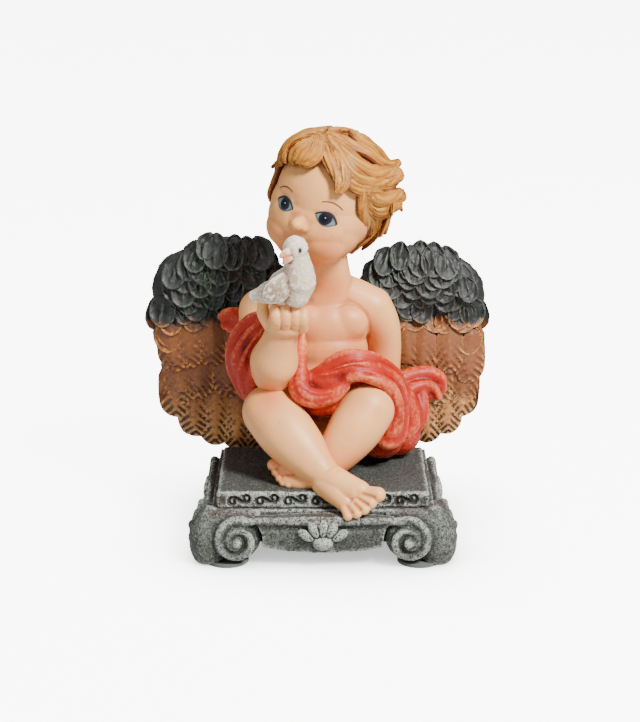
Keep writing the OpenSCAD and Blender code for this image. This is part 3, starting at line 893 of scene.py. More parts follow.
def volute(side, x, outward, bulge):
    """The rolled edge of one corner scroll: a spiral from the ledge round to its eye."""
    turns, steps = 1.62, 40
    knots = []
    for i in range(steps):
        t = i / (steps - 1)
        angle = math.pi * (0.5 + 0.12) - 2 * math.pi * turns * t
        reach = (SCROLL_SIZE - 1.2) * (1 - t) ** 0.8 + 1.1 * t
        z = SCROLL_Z - 0.3 * t + reach * math.sin(angle)
        y = -bulge_at(bulge, z) + 0.7 - 0.5 * t
        knots.append((x + outward * reach * math.cos(angle), y, z, 1.6 - 0.7 * t))
    ridge = roll(side, knots, flat=0.9, fine=12, rings=150)
    eye = ball(side, (x, -bulge_at(bulge, SCROLL_Z) - 0.3, SCROLL_Z - 0.3), (1.6, 1.3, 1.6), fine=16)
    return [ridge, eye]


def build_corner_scrolls():
    """The four corners' scrolls, seen from both faces of each corner."""
    parts = []
    for turn in (0, 180):
        side = side_frame(turn, CORE_HALF_D)
        for end in (-1, 1):
            parts += volute(side, end * FRONT_SCROLL_X, end, FRONT_BULGE)
            parts.append(ball(side, (end * FRONT_SCROLL_X, -0.6, SCROLL_Z - 0.1), (7.0, 4.4, 6.9), fine=32))
            if turn == 0:
                corner = [(32.4, 3.2, 15.6, 3.0), (33.6, 1.9, 12.6, 4.6), (34.4, 1.0, 8.6, 5.7),
                          (34.5, 0.9, 5.0, 5.8), (34.0, 1.3, 1.6, 5.0)]
                shoulder = [(20, 1.8, 14.9, 1.4), (26.5, 0.6, 14.2, 2.6), (32.6, 0.6, 12.4, 3.8),
                            (34.8, 2.0, 9, 4.4)]
                corner, shoulder = ([(end * x, *rest) for x, *rest in path] for path in (corner, shoulder))
                parts.append(roll(side, corner, rings=30, fine=32, blunt=0.3))
                parts.append(roll(side, shoulder, rings=30, fine=24))
    for turn, front_end in ((90, -1), (270, 1)):
        side = side_frame(turn, CORE_HALF_W)
        for end in (-1, 1):
            front = end == front_end
            parts += volute(side, end * SIDE_SCROLL_Y, end, SIDE_BULGE if front else REAR_BULGE)
            if front:
                parts.append(ball(side, (end * SIDE_SCROLL_Y, 0, SCROLL_Z - 1.6), (7.6, 4.6, 6.4), fine=32))
                parts.append(ball(side, (end * (SIDE_SCROLL_Y + 1.5), 0.6, 12.2), (8.6, 3.4, 3.7), fine=28))
            else:
                parts.append(ball(side, (end * SIDE_SCROLL_Y, 1, SCROLL_Z), (7, 2.2, 7), fine=28))
    made = fuse(parts, "corner_scrolls_stone", sizes().stone_grain, 2)
    roughen(made, 1.1, 0.14, seed=2)
    note_relief(made, 40)
    return finish_piece(made, "stone_paint", stone_paint(), "corner_scrolls")


def rail(side, z, reach, out, size, sag=0.0, ends=0.0):
    """A raised roll along one side of the pedestal that sags in the middle."""
    knots = [(reach * u, -out, z - sag * (1 - u * u) + ends * abs(u) ** 3, size * (1 - 0.25 * abs(u)))
             for u in (-1, -0.75, -0.4, 0, 0.4, 0.75, 1)]
    return roll(side, knots, flat=0.9, fine=12, rings=50)


def leaf_trim(side, end, reach):
    """Three thin leaves that run from under the flower towards one scroll."""
    made = []
    for tip_x, tip_z, bow, size in ((0.93, 7.4, 0.9, 0.75), (0.72, 6.5, 0.2, 0.65), (0.46, 5.7, -0.3, 0.6)):
        tip = end * reach * tip_x
        knots = [(end * 2.2, -3.2, 7.2, size * 0.9), (tip * 0.45, -3.3, (7.0 + tip_z) / 2 + bow * 0.3, size),
                 (tip * 0.8, -3.1, tip_z + bow * 0.5, size * 0.8), (tip, -2.8, tip_z + bow, size * 0.35)]
        made.append(roll(side, knots, flat=0.8, fine=8, rings=24))
    return made


def build_pedestal():
    """The core with rails and leaf trims, and a groove over the front and rear panels."""
    parts = [cad_clay("pedestal")]
    for turn, half, reach, out, _ in FRONT_AND_REAR + SIDES:
        parts.append(rail(side_frame(turn, half), LEDGE_Z - 1.6, reach + 4.5, out - 0.6, 1.6, 0.1))
    for turn, half, reach, out, _ in FRONT_AND_REAR:
        side = side_frame(turn, half)
        parts.append(rail(side, 11.3, reach * 0.8, out - 1.0, 0.9, 0.6, 1.5))
        parts.append(rail(side, 6.0, reach * 0.66, out - 1.6, 1.0, 0.9, 0.4))
        for end in (-1, 1):
            parts += leaf_trim(side, end, reach - 1)
    made = fuse(parts, "pedestal_stone", sizes().stone_grain, 3)
    for turn, half, reach, out, _ in FRONT_AND_REAR:
        path = [(-reach, -out, 12.9), (-8, -out, 12.4), (8, -out, 12.4), (reach, -out, 12.9)]
        press(made, side_frame(turn, half), path, 0.6, 0.8)
    roughen(made, 1.2, 0.15, seed=4)
    note_relief(made, 26)
    return finish_piece(made, "stone_paint", stone_paint(), "pedestal")


def build_palmettes():
    """A flower of five petals over a bud on each side of the pedestal."""
    parts = []
    for turn, half, _, _, out in FRONT_AND_REAR + SIDES:
        side = side_frame(turn, half)
        for lean, long in PETAL_LEANS:
            a = math.radians(lean)
            at = (math.sin(a) * long, -out - 0.5, PALMETTE_Z + math.cos(a) * long * PETAL_SQUASH)
            parts.append(ball(side, at, (1.5, 1.35, 2.75), (0, lean * 0.86, 0), fine=20))
        parts.append(ball(side, (0, -out - 0.7, PALMETTE_Z - 0.9), (3.1, 1.8, 2.2), fine=24))
    made = fuse(parts, "palmettes_stone", 0.24 * MM, 2)
    for turn, half, _, _, out in FRONT_AND_REAR:
        side = side_frame(turn, half)
        for lean, _ in PETAL_LEANS:
            a = math.radians(lean)
            path = [(math.sin(a) * r, -out - 1.6, PALMETTE_Z + math.cos(a) * r * PETAL_SQUASH)
                    for r in (3, 5)]
            press(made, side, path, 0.3, 0.3, 20)
    note_relief(made, 22)
    worn = np.empty(len(made.data.vertices), np.float32)
    made.data.attributes["relief"].data.foreach_get("value", worn)
    note(made, "relief", np.where(worn > -0.1, 0.75, worn * 2))
    return finish_piece(made, "stone_paint", stone_paint(), "palmettes")


def running_scroll(x, z, end, y):
    """One half of a frieze scroll: a wave from the middle that curls in on itself."""
    stem, curl, steps = 0.3, 2.0, 14
    path = []
    for k in range(steps + 1):
        t = k / steps
        if t < stem:
            path.append((x + end * (t / stem) * curl, y, z + end * -0.75 * math.sin(t / stem * math.pi / 2)))
        else:
            round_it = (t - stem) / (1 - stem)
            a = -math.pi * 0.5 + round_it * math.pi * 1.75
            reach = 1.3 - 0.75 * round_it
            path.append((x + end * (curl + reach * math.cos(a)), y, z + end * (0.55 + reach * math.sin(a))))
    return path


def build_seat_slab():
    """The raised slab with a frieze of running scrolls cut in its front edge."""
    low, high = SLAB_LOW, SLAB_HIGH
    wide = (high[0] - low[0]) / 2
    deselect()
    bpy.ops.mesh.primitive_cube_add(size=1)
    made = bpy.context.object
    made.data.transform(Matrix.Translation((low + high) / 2 * MM)
                        @ Matrix.Diagonal((*((high - low) * MM), 1)))
    soft = made.modifiers.new("Worn edges", "BEVEL")
    soft.width = 0.7 * MM
    soft.segments = 3
    apply_all(made)
    made = fuse([made], "seat_slab_stone", 0.34 * MM, 2)
    count = sizes().frieze_count
    pitch = (2 * wide - 5) / count
    middle = (low[2] + high[2]) / 2
    for i in range(count):
        x = (i + 0.5) * pitch - wide + 2.5
        for end in (-1, 1):
            press(made, TABLE_FRAME, running_scroll(x, middle, end, low[1]), 0.95, 0.42, 70, taper=False)
    roughen(made, 1.0, 0.13, seed=6)
    roughen(made, 5.0, 0.25, seed=7)
    note_relief(made, 22)
    return finish_piece(made, "stone_paint", stone_paint(), "seat_slab")


def build_base_pads():
    """The pads keep the frame's shape and take the rubber finish."""
    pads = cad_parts["base_pads"]
    pads.data.materials.clear()
    pads.data.materials.append(rubber_paint())


# ----------------------------------------------------------------------- body


# Places of the rosy airbrush in the seat frame, some of them painted shade at the throat under the chin and
# under the arms, as (x, y, z, radius, strength).
BLUSH_AND_SHADE = [(0, -8, 34, 4, 0.5), (8, -8, 38.5, 6, 0.9), (-3, -8, 39, 6, 0.7), (8.3, -8, 45.6, 1.6, 0.6),
         (-4.6, -8, 45.6, 1.6, 0.5), (-16.4, -16, 24, 6, 0.7), (13.6, -16, 25, 6, 0.4),
         (19.5, 6, 28, 6, 0.7), (12, -8, 51, 4, 0.3), (4, -9, 48, 8, 0.55), (7, -17, 8, 7, 1.0),
         (2, -19, 4, 6, 0.9), (14, -8, 43, 5, 0.8), (15.4, 4, 40, 5, 0.8), (-16, -16, 27, 4, 0.6),
         (-12, -21, 44, 4, 0.5), (-11, -24, 51, 5, 0.4), (6, -33, 0, 4, 0.2), (3, -2, 56, 7, 1.0),
         (0, -24, 2, 4, 0.4), (-14, -21, 3, 6, 0.9), (18, -2, 52, 5, 0.3), (-3, -20, 8, 6, 0.5),
         (-19, -16, 34, 6, 0.55), (-18, -12, 14, 7, 0.55), (13, -4, 32, 7, 0.6), (-9, -6, 44, 6, 0.7),
         (21, 2, 38, 5, 0.4), (14, -10, 12, 6, 0.6), (-5, -14, 12, 6, 0.6)]


def finish_skin(made, rounds, node):
    """Blushes and paints a bare part of the body; some of the rosy spots are painted shade."""
    note_relief(made, rounds)
    glow(made, "blush_and_shade", SEAT_FRAME, BLUSH_AND_SHADE)
    return finish_piece(made, "skin_paint", skin_paint(), node)


def toe(root, tip, size, thin, rings, fine):
    """One toe, whose root and middle are thinner than its tip."""
    middle = tuple((a + b) / 2 for a, b in zip(root, tip))
    return roll(SEAT_FRAME, [(*root, size * thin), (*middle, size * 0.9), (*tip, size)], rings=rings,
                fine=fine)


def build_torso():
    """The bare chest and belly with the neck, and the left arm that grows from it."""
    seat = SEAT_FRAME
    parts = [
        ball(seat, (0, 4, 8), (15, 10.5, 8.5)), ball(seat, (1.8, 1, 27), (13.6, 11.5, 13), fine=32),
        ball(seat, (1, 4, 43), (13.2, 10.8, 10.5), fine=32), ball(seat, (1.4, 2.5, 36), (12.8, 11, 9)),
        ball(seat, (7.2, -1.2, 45.2), (6.8, 4.4, 5.8)), ball(seat, (-3.6, -1.6, 45.2), (6.8, 4.4, 5.8)),
        roll(seat, [(1.5, 6, 49, 9), (2.0, 5, 57, 7.0), (1.4, 3, 65, 6.2)], fine=24),
        roll(seat, [(4, 6, 53.6, 6.4), (10, 7.4, 50.8, 6.4), (14.8, 8, 48.4, 6.2)], fine=20),
        roll(seat, [(0, 6, 54.4, 6.8), (-9, 7, 51, 6.4), (-18, 7, 47.6, 6.2)], fine=20),
        ball(seat, (-19.2, 6.5, 47.2), (6.4, 6.4, 6.4)),
        roll(seat, [(15.4, 8, 48.0, 6.4), (18, 9, 42, 6.2), (19.2, 10, 35, 5.6), (19.2, 10.6, 27, 5.4),
                    (20, 13, 18, 4.7), (20.5, 16, 8, 4)], rings=40, fine=20),
        ball(seat, (20.5, 18, 3.2), (4, 6, 3)),
    ]
    made = fuse(parts, "torso_skin", sizes().body_grain, 14)
    press(made, seat, [(12.8, -3, 46), (13.8, -1.5, 42), (14.1, 0, 38), (14.4, 1, 32)], 0.45, 0.7)
    press(made, seat, [(17.5, 3, 27), (20, 4, 26.2), (23, 6, 27)], 0.35, 0.7)
    press(made, seat, [(-1, -3, 57), (4, -4, 58), (8, -2, 57.4)], 0.35, 0.8)
    press(made, seat, [(-1, -9, 38.5), (3, -9, 37.6), (8, -8, 38), (12, -6, 39.5)], 0.2, 1.8)
    swell(made, seat, (8.3, -8, 45.5), 0.6, 0.4)
    swell(made, seat, (-4.6, -8.4, 45.6), 0.6, 0.4)
    note_relief(made, 60)
    glow(made, "blush_and_shade", seat, BLUSH_AND_SHADE)
    torso, arm = split(made, seat, (14.4, 8, 40), (1, 0, 0), "left_arm_skin")
    finish_piece(torso, "skin_paint", skin_paint(), "torso")
    finish_piece(arm, "skin_paint", skin_paint(), "left_arm")


def build_right_arm():
    """The bent right arm, from its shoulder to its wrist."""
    seat = SEAT_FRAME
    parts = [
        roll(seat, [(-19.5, 6.5, 47.2, 6.9), (-19.2, 0, 40, 6.6), (-16, -8, 33.5, 6.8)], rings=30, fine=20),
        roll(seat, [(-15.4, -9.6, 31.6, 6.3), (-14.8, -12.4, 36.4, 7.5), (-13.4, -15.2, 42.4, 5.8),
                    (-12.0, -16.8, 48, 4.9)],
             rings=34, fine=24),
    ]
    made = fuse(parts, "right_arm_skin", sizes().body_grain * 0.9, 8)
    press(made, seat, [(-18.4, -19, 46.4), (-13, -23, 44.7), (-7.6, -20, 46.2)], 0.5, 0.5)
    press(made, seat, [(-16, -21, 44), (-12.6, -23, 43.2), (-9, -21, 44)], 0.25, 0.5)
    return finish_skin(made, 60, "right_arm")


def build_right_hand():
    """The raised hand: a plump palm, four upright fingers side by side and the thumb."""
    seat = SEAT_FRAME
    parts = [ball(seat, (-11.2, -18, 50.2), (6.0, 4.4, 4.8)),
             ball(seat, (-11.2, -19.4, 48.9), (5.4, 3.8, 3.4))]
    for x, top, size in ((-14.3, 55.6, 1.95), (-11.1, 56.2, 2.0), (-8.1, 55.8, 1.85), (-5.6, 54.6, 1.7)):
        lean = (x + 10) * 0.1
        parts.append(roll(seat, [(x * 0.9 - 1.0, -20.4, 48.9, size), (x - lean, -22.6, 52.2, size * 1.1),
                                 (x, -21.6, top - 0.6, size * 0.85)], rings=22, fine=16))
    parts.append(roll(seat, [(-15.6, -17, 49, 2.4), (-17.8, -17.6, 53, 2.1), (-17.9, -17.8, 56, 1.6)],
                      rings=20, fine=16))
    made = fuse(parts, "right_hand_skin", sizes().face_grain * 0.85, 3)
    for x in (-12.8, -9.6, -6.9):
        press(made, seat, [(x * 0.95 - 0.4, -25, 50.4), (x, -25, 53), (x, -24, 56)], 0.3, 0.42)
    for x in (-14.4, -11.3, -8.5):
        swell(made, seat, (x * 0.97, -24, 50.4), 0.6, -0.18)
    press(made, seat, [(-14.6, -25, 50.2), (-11, -26, 49.8), (-7, -25, 50.4)], 0.16, 0.6)
    return finish_skin(made, 30, "right_hand")


def build_right_leg():
    """The crossing leg, which lies in front."""
    seat = SEAT_FRAME
    parts = [
        roll(seat, [(-10, 3, 9.8, 9.4), (-14, -5, 15.5, 9.2), (-16.4, -11, 19.6, 8.4)], rings=30, fine=28),
        roll(seat, [(-16.4, -11, 19.6, 8.5), (-11.5, -16, 15, 8.8), (-6.5, -20, 10.4, 7.8),
                    (-2.6, -22.8, 6.8, 6.2), (0.4, -25, 4.4, 4.9)], rings=44, fine=32),
    ]
    made = fuse(parts, "right_leg_skin", sizes().body_grain, 9)
    press(made, seat, [(-4, -30, 6.6), (-0.6, -29.8, 8.2), (3, -26, 9)], 0.35, 0.4)
    return finish_skin(made, 60, "right_leg")


def build_left_leg():
    """The leg behind, whose knee stands out of the drape."""
    seat = SEAT_FRAME
    parts = [
        roll(seat, [(10, 3, 9.8, 9.2), (12.5, -4, 16, 8.8), (13.6, -10.6, 20.4, 8.4)], rings=30, fine=28),
        roll(seat, [(13.6, -10.6, 20.4, 8.5), (9.6, -14, 14.8, 8.2), (5, -17, 9.2, 6.7), (1.5, -19, 5.6, 5.2),
                    (-1.5, -20.2, 4, 4)], rings=44, fine=32),
    ]
    made = fuse(parts, "left_leg_skin", sizes().body_grain, 9)
    return finish_skin(made, 60, "left_leg")


def build_right_foot():
    """The front foot, with five round toes over the slab's edge."""
    seat = SEAT_FRAME
    parts = [
        roll(seat, [(0.6, -25.2, 3.6, 4.9), (5, -28.4, 2.5, 4.5), (9.4, -31, 1.2, 3.7)], rings=26, fine=24),
        roll(seat, [(0.8, -26.4, 2.2, 4.4), (4.4, -30, 0.2, 4), (6.6, -32.4, -1.8, 3)], rings=26, fine=24),
        roll(seat, [(6, -29, 2.4, 4.2), (11.2, -31.8, 1.8, 3)], rings=20, fine=20),
        ball(seat, (6.6, -30.4, 0.4), (5.2, 3.6, 3.6), (0, 32, -30)),
    ]
    toes = [((11.8, -32.4, 1.6), (16.4, -34.2, 1.3), 2.35), ((11.2, -33.6, 0), (14.2, -35.6, -0.9), 1.85),
            ((10, -34.4, -1.2), (12.3, -36.4, -2.5), 1.7), ((8.4, -34.8, -2.2), (10, -36.8, -3.7), 1.55),
            ((6.4, -34.8, -3), (7.4, -36.6, -4.6), 1.45)]
    parts += [toe(root, tip, size, 0.9, 20, 16) for root, tip, size in toes]
    made = fuse(parts, "right_foot_skin", sizes().face_grain * 0.9, 3)
    for (root, tip, _), (next_root, next_tip, _) in zip(toes, toes[1:]):
        path = [tuple((a + b) / 2 + d for a, b, d in zip(one, other, (0, -1.2, 1.0)))
                for one, other in ((root, next_root), (tip, next_tip))]
        press(made, seat, path, 0.35, 0.45, 30, taper=False)
    for _, tip, size in toes:
        at = (tip[0] + size * 0.55, tip[1] - size * 0.35, tip[2] + size * 0.75)
        swell(made, seat, at, size * 0.42, -0.16)
    press(made, seat, [(-1.5, -31.4, 4.8), (3, -30.4, 7), (6, -26, 8)], 0.3, 0.45)
    return finish_skin(made, 36, "right_foot")


def build_left_foot():
    """The foot behind, lying on its side with its toes stacked."""
    seat = SEAT_FRAME
    parts = [
        roll(seat, [(-1, -21.4, 3.4, 3.6), (-6.4, -20.8, 3.4, 3.4), (-11.4, -20.4, 3.8, 3)], rings=24,
             fine=20),
        roll(seat, [(-2, -23, 1.4, 3), (-7, -23, 1.2, 2.8), (-10.8, -22.6, 1.4, 2.3)], rings=24, fine=20),
    ]
    toes = [((-12, -20, 4.8), (-15.2, -20.2, 5.6), 1.9), ((-11.6, -21, 3.2), (-14.4, -21.4, 3.6), 1.35),
            ((-11, -22, 2), (-13.3, -22.6, 2.1), 1.25), ((-10.2, -23, 1), (-12.2, -23.6, 1.0), 1.15),
            ((-9, -23.8, 0.6), (-10.6, -24.4, 0.7), 1.05)]
    parts += [toe(root, tip, size, 1.0, 18, 14) for root, tip, size in toes]
    made = fuse(parts, "left_foot_skin", sizes().face_grain * 0.9, 3)
    return finish_skin(made, 36, "left_foot")


# ----------------------------------------------------------------------- head


# Each eye's x, z, half width and tilt, then how far to the side its iris looks and the iris's size.
EYES = [(-6.9, -0.5, 3.3, math.radians(-3), 0.1, 1.72), (6.75, -0.3, 3.35, math.radians(-16), -0.15, 1.9)]
# Each brow's x, z, half width and tilt.
BROWS = [(-8.2, 3.2, 2.9, math.radians(14)), (7.3, 3.9, 2.9, math.radians(-12))]


def build_head():
    """The doll-like face under the hair."""
    head = HEAD_FRAME
    parts = [
        ball(head, (0, 2.5, 2.2), (15.8, 18.3, 16.6), fine=48),
        ball(head, (0, -3.6, -5.4), (14.9, 12.4, 11.8), fine=48),
        ball(head, (0, -4.8, -11.2), (11.6, 9.8, 7.6), fine=40),
        ball(head, (0, -9.6, -15), (5.2, 4.6, 3.6), fine=24),
        ball(head, (-5.6, -7.6, -8.6), (7.6, 7.6, 7.0), fine=32),
        ball(head, (5.6, -7.6, -8.6), (7.6, 7.6, 7.0), fine=32),
        ball(head, (0, -12.4, -10), (4.6, 3.6, 3.4), fine=24),
        ball(head, (0, -0.5, -2.2), (15.9, 15.7, 13), fine=48),
        roll(head, [(0, -14.9, -0.6, 1.0), (-0.1, -15.6, -2.4, 1.4), (-0.2, -16.4, -3.6, 1.8)], rings=20,
             fine=20),
        ball(head, (-0.2, -16.7, -3.9), (2.4, 3.3, 2.15), fine=24),
        ball(head, (-1.8, -15.9, -4.6), (1.4, 1.8, 1.3), fine=16),
        ball(head, (1.5, -15.9, -4.6), (1.4, 1.8, 1.3), fine=16),
        ball(head, (-3, -9.5, -4.5), (9.4, 6.6, 7.6), fine=32),
        ball(head, (3, -9.5, -4.5), (9.4, 6.6, 7.6), fine=32),
    ]
    made = fuse(parts, "head_skin", sizes().face_grain, 17)
    for x, z, *_ in EYES:
        swell(made, head, (x, -15.2, z - 0.2), 4.6, -0.7)
        swell(made, head, (x, -14.6, z), 2.5, 0.8)
    for side in (-1, 1):
        swell(made, head, (side * 1.15 - 0.2, -17.8, -5.8), 0.65, -0.5)
    for x, z, size, out in ((-1.4, -9.5, 1.0, 0.7), (1.4, -9.5, 1.0, 0.7), (0, -9.6, 0.9, 0.5),
                            (0, -11.1, 1.6, 0.9), (0, -14.6, 2.8, 0.5)):
        swell(made, head, (x, -16.2, z), size, out)
    press(made, head, [(-2.7, -16, -10.1), (0, -17, -10.3), (2.7, -16, -10.1)], 0.35, 0.32, 30)
    press(made, head, [(-3, -15, -12.8), (0, -15.6, -13.1), (3, -15, -12.8)], 0.3, 0.9, 30)
    for u, v, wide, *_ in EYES:
        upper = [(u - wide, -14, v), (u - wide * 0.4, -15, v + 1.7), (u + wide * 0.4, -15, v + 1.7),
                 (u + wide, -14, v)]
        press(made, head, upper, 0.12, 0.3, 40)
        press(made, head, [(x, y, z + 0.7) for x, y, z in upper], -0.22, 0.45, 40)
    note_relief(made, 60)
    # The spots under the chin and along the jaw are painted shade; the others are rosy airbrush.
    glow(made, "blush_and_shade", head, [(-8.4, -13, -8.2, 4.4, 0.75), (8.8, -13, -8.6, 5, 0.9),
                               (0, -18, -4.6, 2.2, 0.35), (4, -11, -16, 5, 0.9), (-5, -12, -14, 4, 0.6),
                               (0, -14, 7, 6, 0.3), (10, -6, -13, 5, 0.7), (0, -5, -17, 8, 0.8),
                               (14, -5, -2, 4, 0.5), (-14, -6, -3, 3.4, 0.4)])
    glow(made, "eye_shadow", head, [(x + 0.5 * side, -15, z + rise, 2.4, 0.42)
                                    for side, (x, z, *_) in zip((-1, 1), EYES) for rise in (-1.2, 1.6)])
    glow(made, "lips", head, [(x, -16.6, z, 0.95, 0.7) for x in (-1.7, 0, 1.7) for z in (-9.5, -11.0)])
    # Painted shade in the nostrils.
    glow(made, "nostril_shade", head, [(side * 1.15 - 0.2, -18.2, -5.9, 0.75, 1.4) for side in (-1, 1)])
    return finish_piece(made, "skin_paint", face_paint(), "head")


HEAD_MIDDLE = (0, 3, 2)
LOCK_FLAT, LOCK_SUNK, STRAND_DEPTH = 0.62, 0.62, 0.5


def lock(path, seed, grooves=5, fine=40):
    """A lock of hair: a flattened roll along [x, y, z, half width] with strands cut along it."""
    pick = random.Random(seed)
    shift, twist = pick.uniform(0, 6.28), pick.uniform(-1.2, 1.2)
    points = np.array(path, float)
    points[-1, 3] = max(points[-1, 3], 0.55 * points[-2, 3])
    out = unit(points[:, :3] - np.asarray(HEAD_MIDDLE, float))
    points[:, :3] -= out * (points[:, 3] * LOCK_SUNK)[:, None]
    rings = int(10 + 1.5 * sum(np.linalg.norm(np.diff(points[:, :3], axis=0), axis=1)))

    def strands(t, turn):
        across = np.cos(turn + 0.25 * np.sin(5 * t + shift))
        wave = np.cos(across * math.pi * grooves + shift + twist * t * 2)
        fine_wave = np.cos(across * math.pi * grooves * 2.3 + shift * 2 - twist * t)
        return (((np.abs(wave) ** 0.7 * 2 - 1) * 0.6 + 0.25 * fine_wave)
                * np.clip(np.sin(turn) * 2 + 0.6, 0, 1))

    def cut_strands(made, ring, turn):
        t = ring / rings
        root = np.exp(-((t / 0.08) ** 2))
        note(made, "relief", 0.40 * strands(t, turn) + 0.8 * (np.sin(turn) - 0.82) - 0.3 * root)
        return STRAND_DEPTH * strands(even_steps(rings)[ring], turn)

    return roll(HEAD_FRAME, points, LOCK_FLAT, HEAD_MIDDLE, fine, rings, relief=cut_strands)


# Each lock's path in the head frame, as (x, y, z, half width).
LOCKS = [
    # the fringe: two long locks that fall between the brows
    [(-3.8, -3.4, 20.8, 1.5), (-1.2, -8.2, 19.2, 2.2), (1.6, -11.2, 17, 2.3), (4.6, -12.6, 14.9, 2.0),
     (6.8, -13.4, 12.8, 1.6), (7.9, -14.2, 10.6, 1.1), (7.8, -14.6, 8.8, 0.5)],
    [(-2.6, -4.2, 21, 1.5), (1.8, -8.6, 19.2, 2.2), (5.4, -10.4, 17, 2.2), (7.9, -11.6, 14.4, 1.9),
     (9.2, -12.6, 11.8, 1.4), (9, -13.8, 9.2, 0.6)],
    # left of the parting
    [(-5, -4.4, 20.6, 1.4), (-2.8, -9, 18.9, 1.9), (-1.9, -12, 16.4, 1.8), (-2.9, -13.6, 14.3, 1.4),
     (-4.8, -13.8, 13, 0.6)],
    [(-6, -3.6, 20.4, 1.3), (-4.6, -8.6, 18.9, 1.8), (-3.9, -11.6, 16.6, 1.6), (-4.8, -13.2, 14.3, 1.2),
     (-6, -13.4, 12.6, 0.5)],
    [(-8, -2, 20, 1.3), (-6.9, -7.8, 18.6, 1.7), (-6.2, -10.8, 16.4, 1.5), (-6.4, -12.4, 14.2, 1.1),
     (-7.2, -12.8, 12.4, 0.5)],
    [(-6.4, -2.6, 20, 1.4), (-8.8, -7.4, 17.8, 2.0), (-10.2, -9.6, 15.2, 1.8), (-9.8, -11.2, 12.8, 1.3),
     (-8.8, -11.8, 11.4, 0.8)],
    [(-6, -3, 20.2, 1.4), (-7.6, -8.6, 18.2, 1.9), (-8.4, -11, 15.8, 1.7), (-8.4, -12.2, 13.4, 1.1)],
    [(-6.6, -1, 21, 1.4), (-10.2, -4.6, 19.2, 1.9), (-13, -6.6, 16.6, 1.9), (-14, -8, 13.8, 1.5),
     (-12.8, -9.6, 11.8, 1.1), (-11.6, -10.4, 10.6, 0.5)],
    [(-7, 1, 21.2, 1.5), (-12, -1.6, 18.8, 2.1), (-15.4, -3.4, 15.2, 2.1), (-16.2, -5, 11.6, 1.7),
     (-14.6, -7.8, 9.4, 1.1), (-13.2, -9, 9, 0.5)],
    [(-7, 4, 21.2, 1.6), (-13, 1.6, 18.4, 2.3), (-16.8, -0.8, 13.4, 2.4), (-17.2, -2.6, 8.8, 2.1),
     (-16.6, -4, 4.6, 1.8), (-16.2, -5.6, 1, 1.6), (-16, -6.8, -1.8, 1.2), (-15, -7, -3.6, 0.6)],
    [(-7, 6, 21, 1.6), (-13.6, 5, 17.6, 2.4), (-17, 3, 11.6, 2.6), (-17.2, 1, 5.4, 2.3), (-16.4, -1, 0, 2.0),
     (-15.4, -2, -4.6, 1.4), (-14.4, -2.6, -7.4, 0.6)],
    # right of the parting, the great sweep
    [(-3.4, -5, 20.6, 1.5), (1.6, -7.6, 20.2, 2.2), (5.8, -9.2, 18, 2.4), (9.4, -9.4, 15.4, 2.4),
     (12.4, -7.2, 13.6, 2.3), (15.2, -2.4, 12.6, 2.2), (17.2, 3.4, 13, 2.5), (19, 7.4, 14.6, 2.1)],
    [(-4.6, -2.6, 20.6, 1.5), (1, -5.8, 20.6, 2.3), (5.6, -7, 19.6, 2.5), (9.4, -6.4, 17.8, 2.5),
     (13, -3, 15.8, 2.4), (15.6, 2.6, 15, 2.5), (17.8, 7.0, 15.6, 2.0)],
    [(-4.6, -0.4, 20.9, 1.6), (0, -1.4, 21.6, 2.4), (4.8, -1.2, 21, 2.7), (9.4, 0.4, 20.2, 2.6),
     (13, 4, 17.6, 2.4), (15, 9, 16, 1.8), (15.8, 13, 16.4, 0.8)],
    [(-4, 2.4, 21.2, 1.6), (0.4, 4, 22, 2.5), (5.4, 6, 21, 2.8), (9.8, 8.4, 19.6, 2.6), (13, 11.4, 16.2, 2.1),
     (14.4, 14.6, 13.6, 1.0)],
    [(8.6, -10.2, 14.2, 1.6), (10.9, -10.4, 12, 2.1), (13.4, -7.8, 10.8, 2.3), (15.6, -2.8, 10.8, 2.3),
     (17.2, 2.6, 11.4, 2.2), (18.4, 6.6, 12.6, 1.7)],
    # the low flips at the right
    [(15.2, -5, 8.8, 1.8), (17.6, -1.6, 7.8, 2.7), (19.6, 2.6, 7.8, 2.8), (21, 6.2, 9, 2.1)],
    [(15.6, -4.6, 6.4, 1.8), (18, -0.8, 4.6, 2.7), (20, 3, 4.2, 2.8), (21.6, 6.4, 5.8, 2.1)],
    [(14.4, -6, 10, 1.8), (16.4, -2.8, 7.4, 2.5), (18.4, 2, 5.8, 2.9), (20, 6.2, 5.8, 2.7),
     (21.4, 9.0, 7.6, 2.0)],
    [(15, -1.6, 10.6, 1.7), (17.2, 1.8, 8.8, 2.5), (19, 6, 7.6, 2.5), (20.6, 9.2, 8.4, 1.7)],
    [(14.8, -5.6, 9, 1.7), (16.4, -2.8, 4.4, 2.3), (17.8, 2, 2, 2.7), (19.4, 6, 2.6, 2.5),
     (21.0, 8.8, 4.8, 1.8)],
    # down the right side to the nape
    [(13.8, -7.4, 10, 1.5), (15, -7.2, 5.2, 1.9), (15.8, -4.4, 1.4, 2.1), (16, -0.6, -2.4, 2.2),
     (14.8, 2, -6.6, 2.1), (12.8, 2.6, -10.4, 1.7), (11, 1.6, -13.6, 0.8)],
    [(15, -5.6, 7.6, 1.6), (16.4, -1.6, 2.4, 2.0), (17.2, 2.4, -1.6, 2.3), (16.4, 5.4, -6, 2.2),
     (14, 5.4, -10, 1.8), (11.8, 4.2, -13.6, 0.8)],
    [(16.6, 3, 3.4, 1.8), (17.6, 5.8, -1.4, 2.3), (17.4, 8, -6, 2.1), (15.6, 8.4, -9.8, 1.5),
     (13.8, 8, -12.4, 0.7)],
]


CROWN_LAYERS = [
    # lowest height, how many locks, how far they fall in degrees from the crown
    (-13.5, 13, 134), (-5, 11, 112), (3, 8, 84),
]


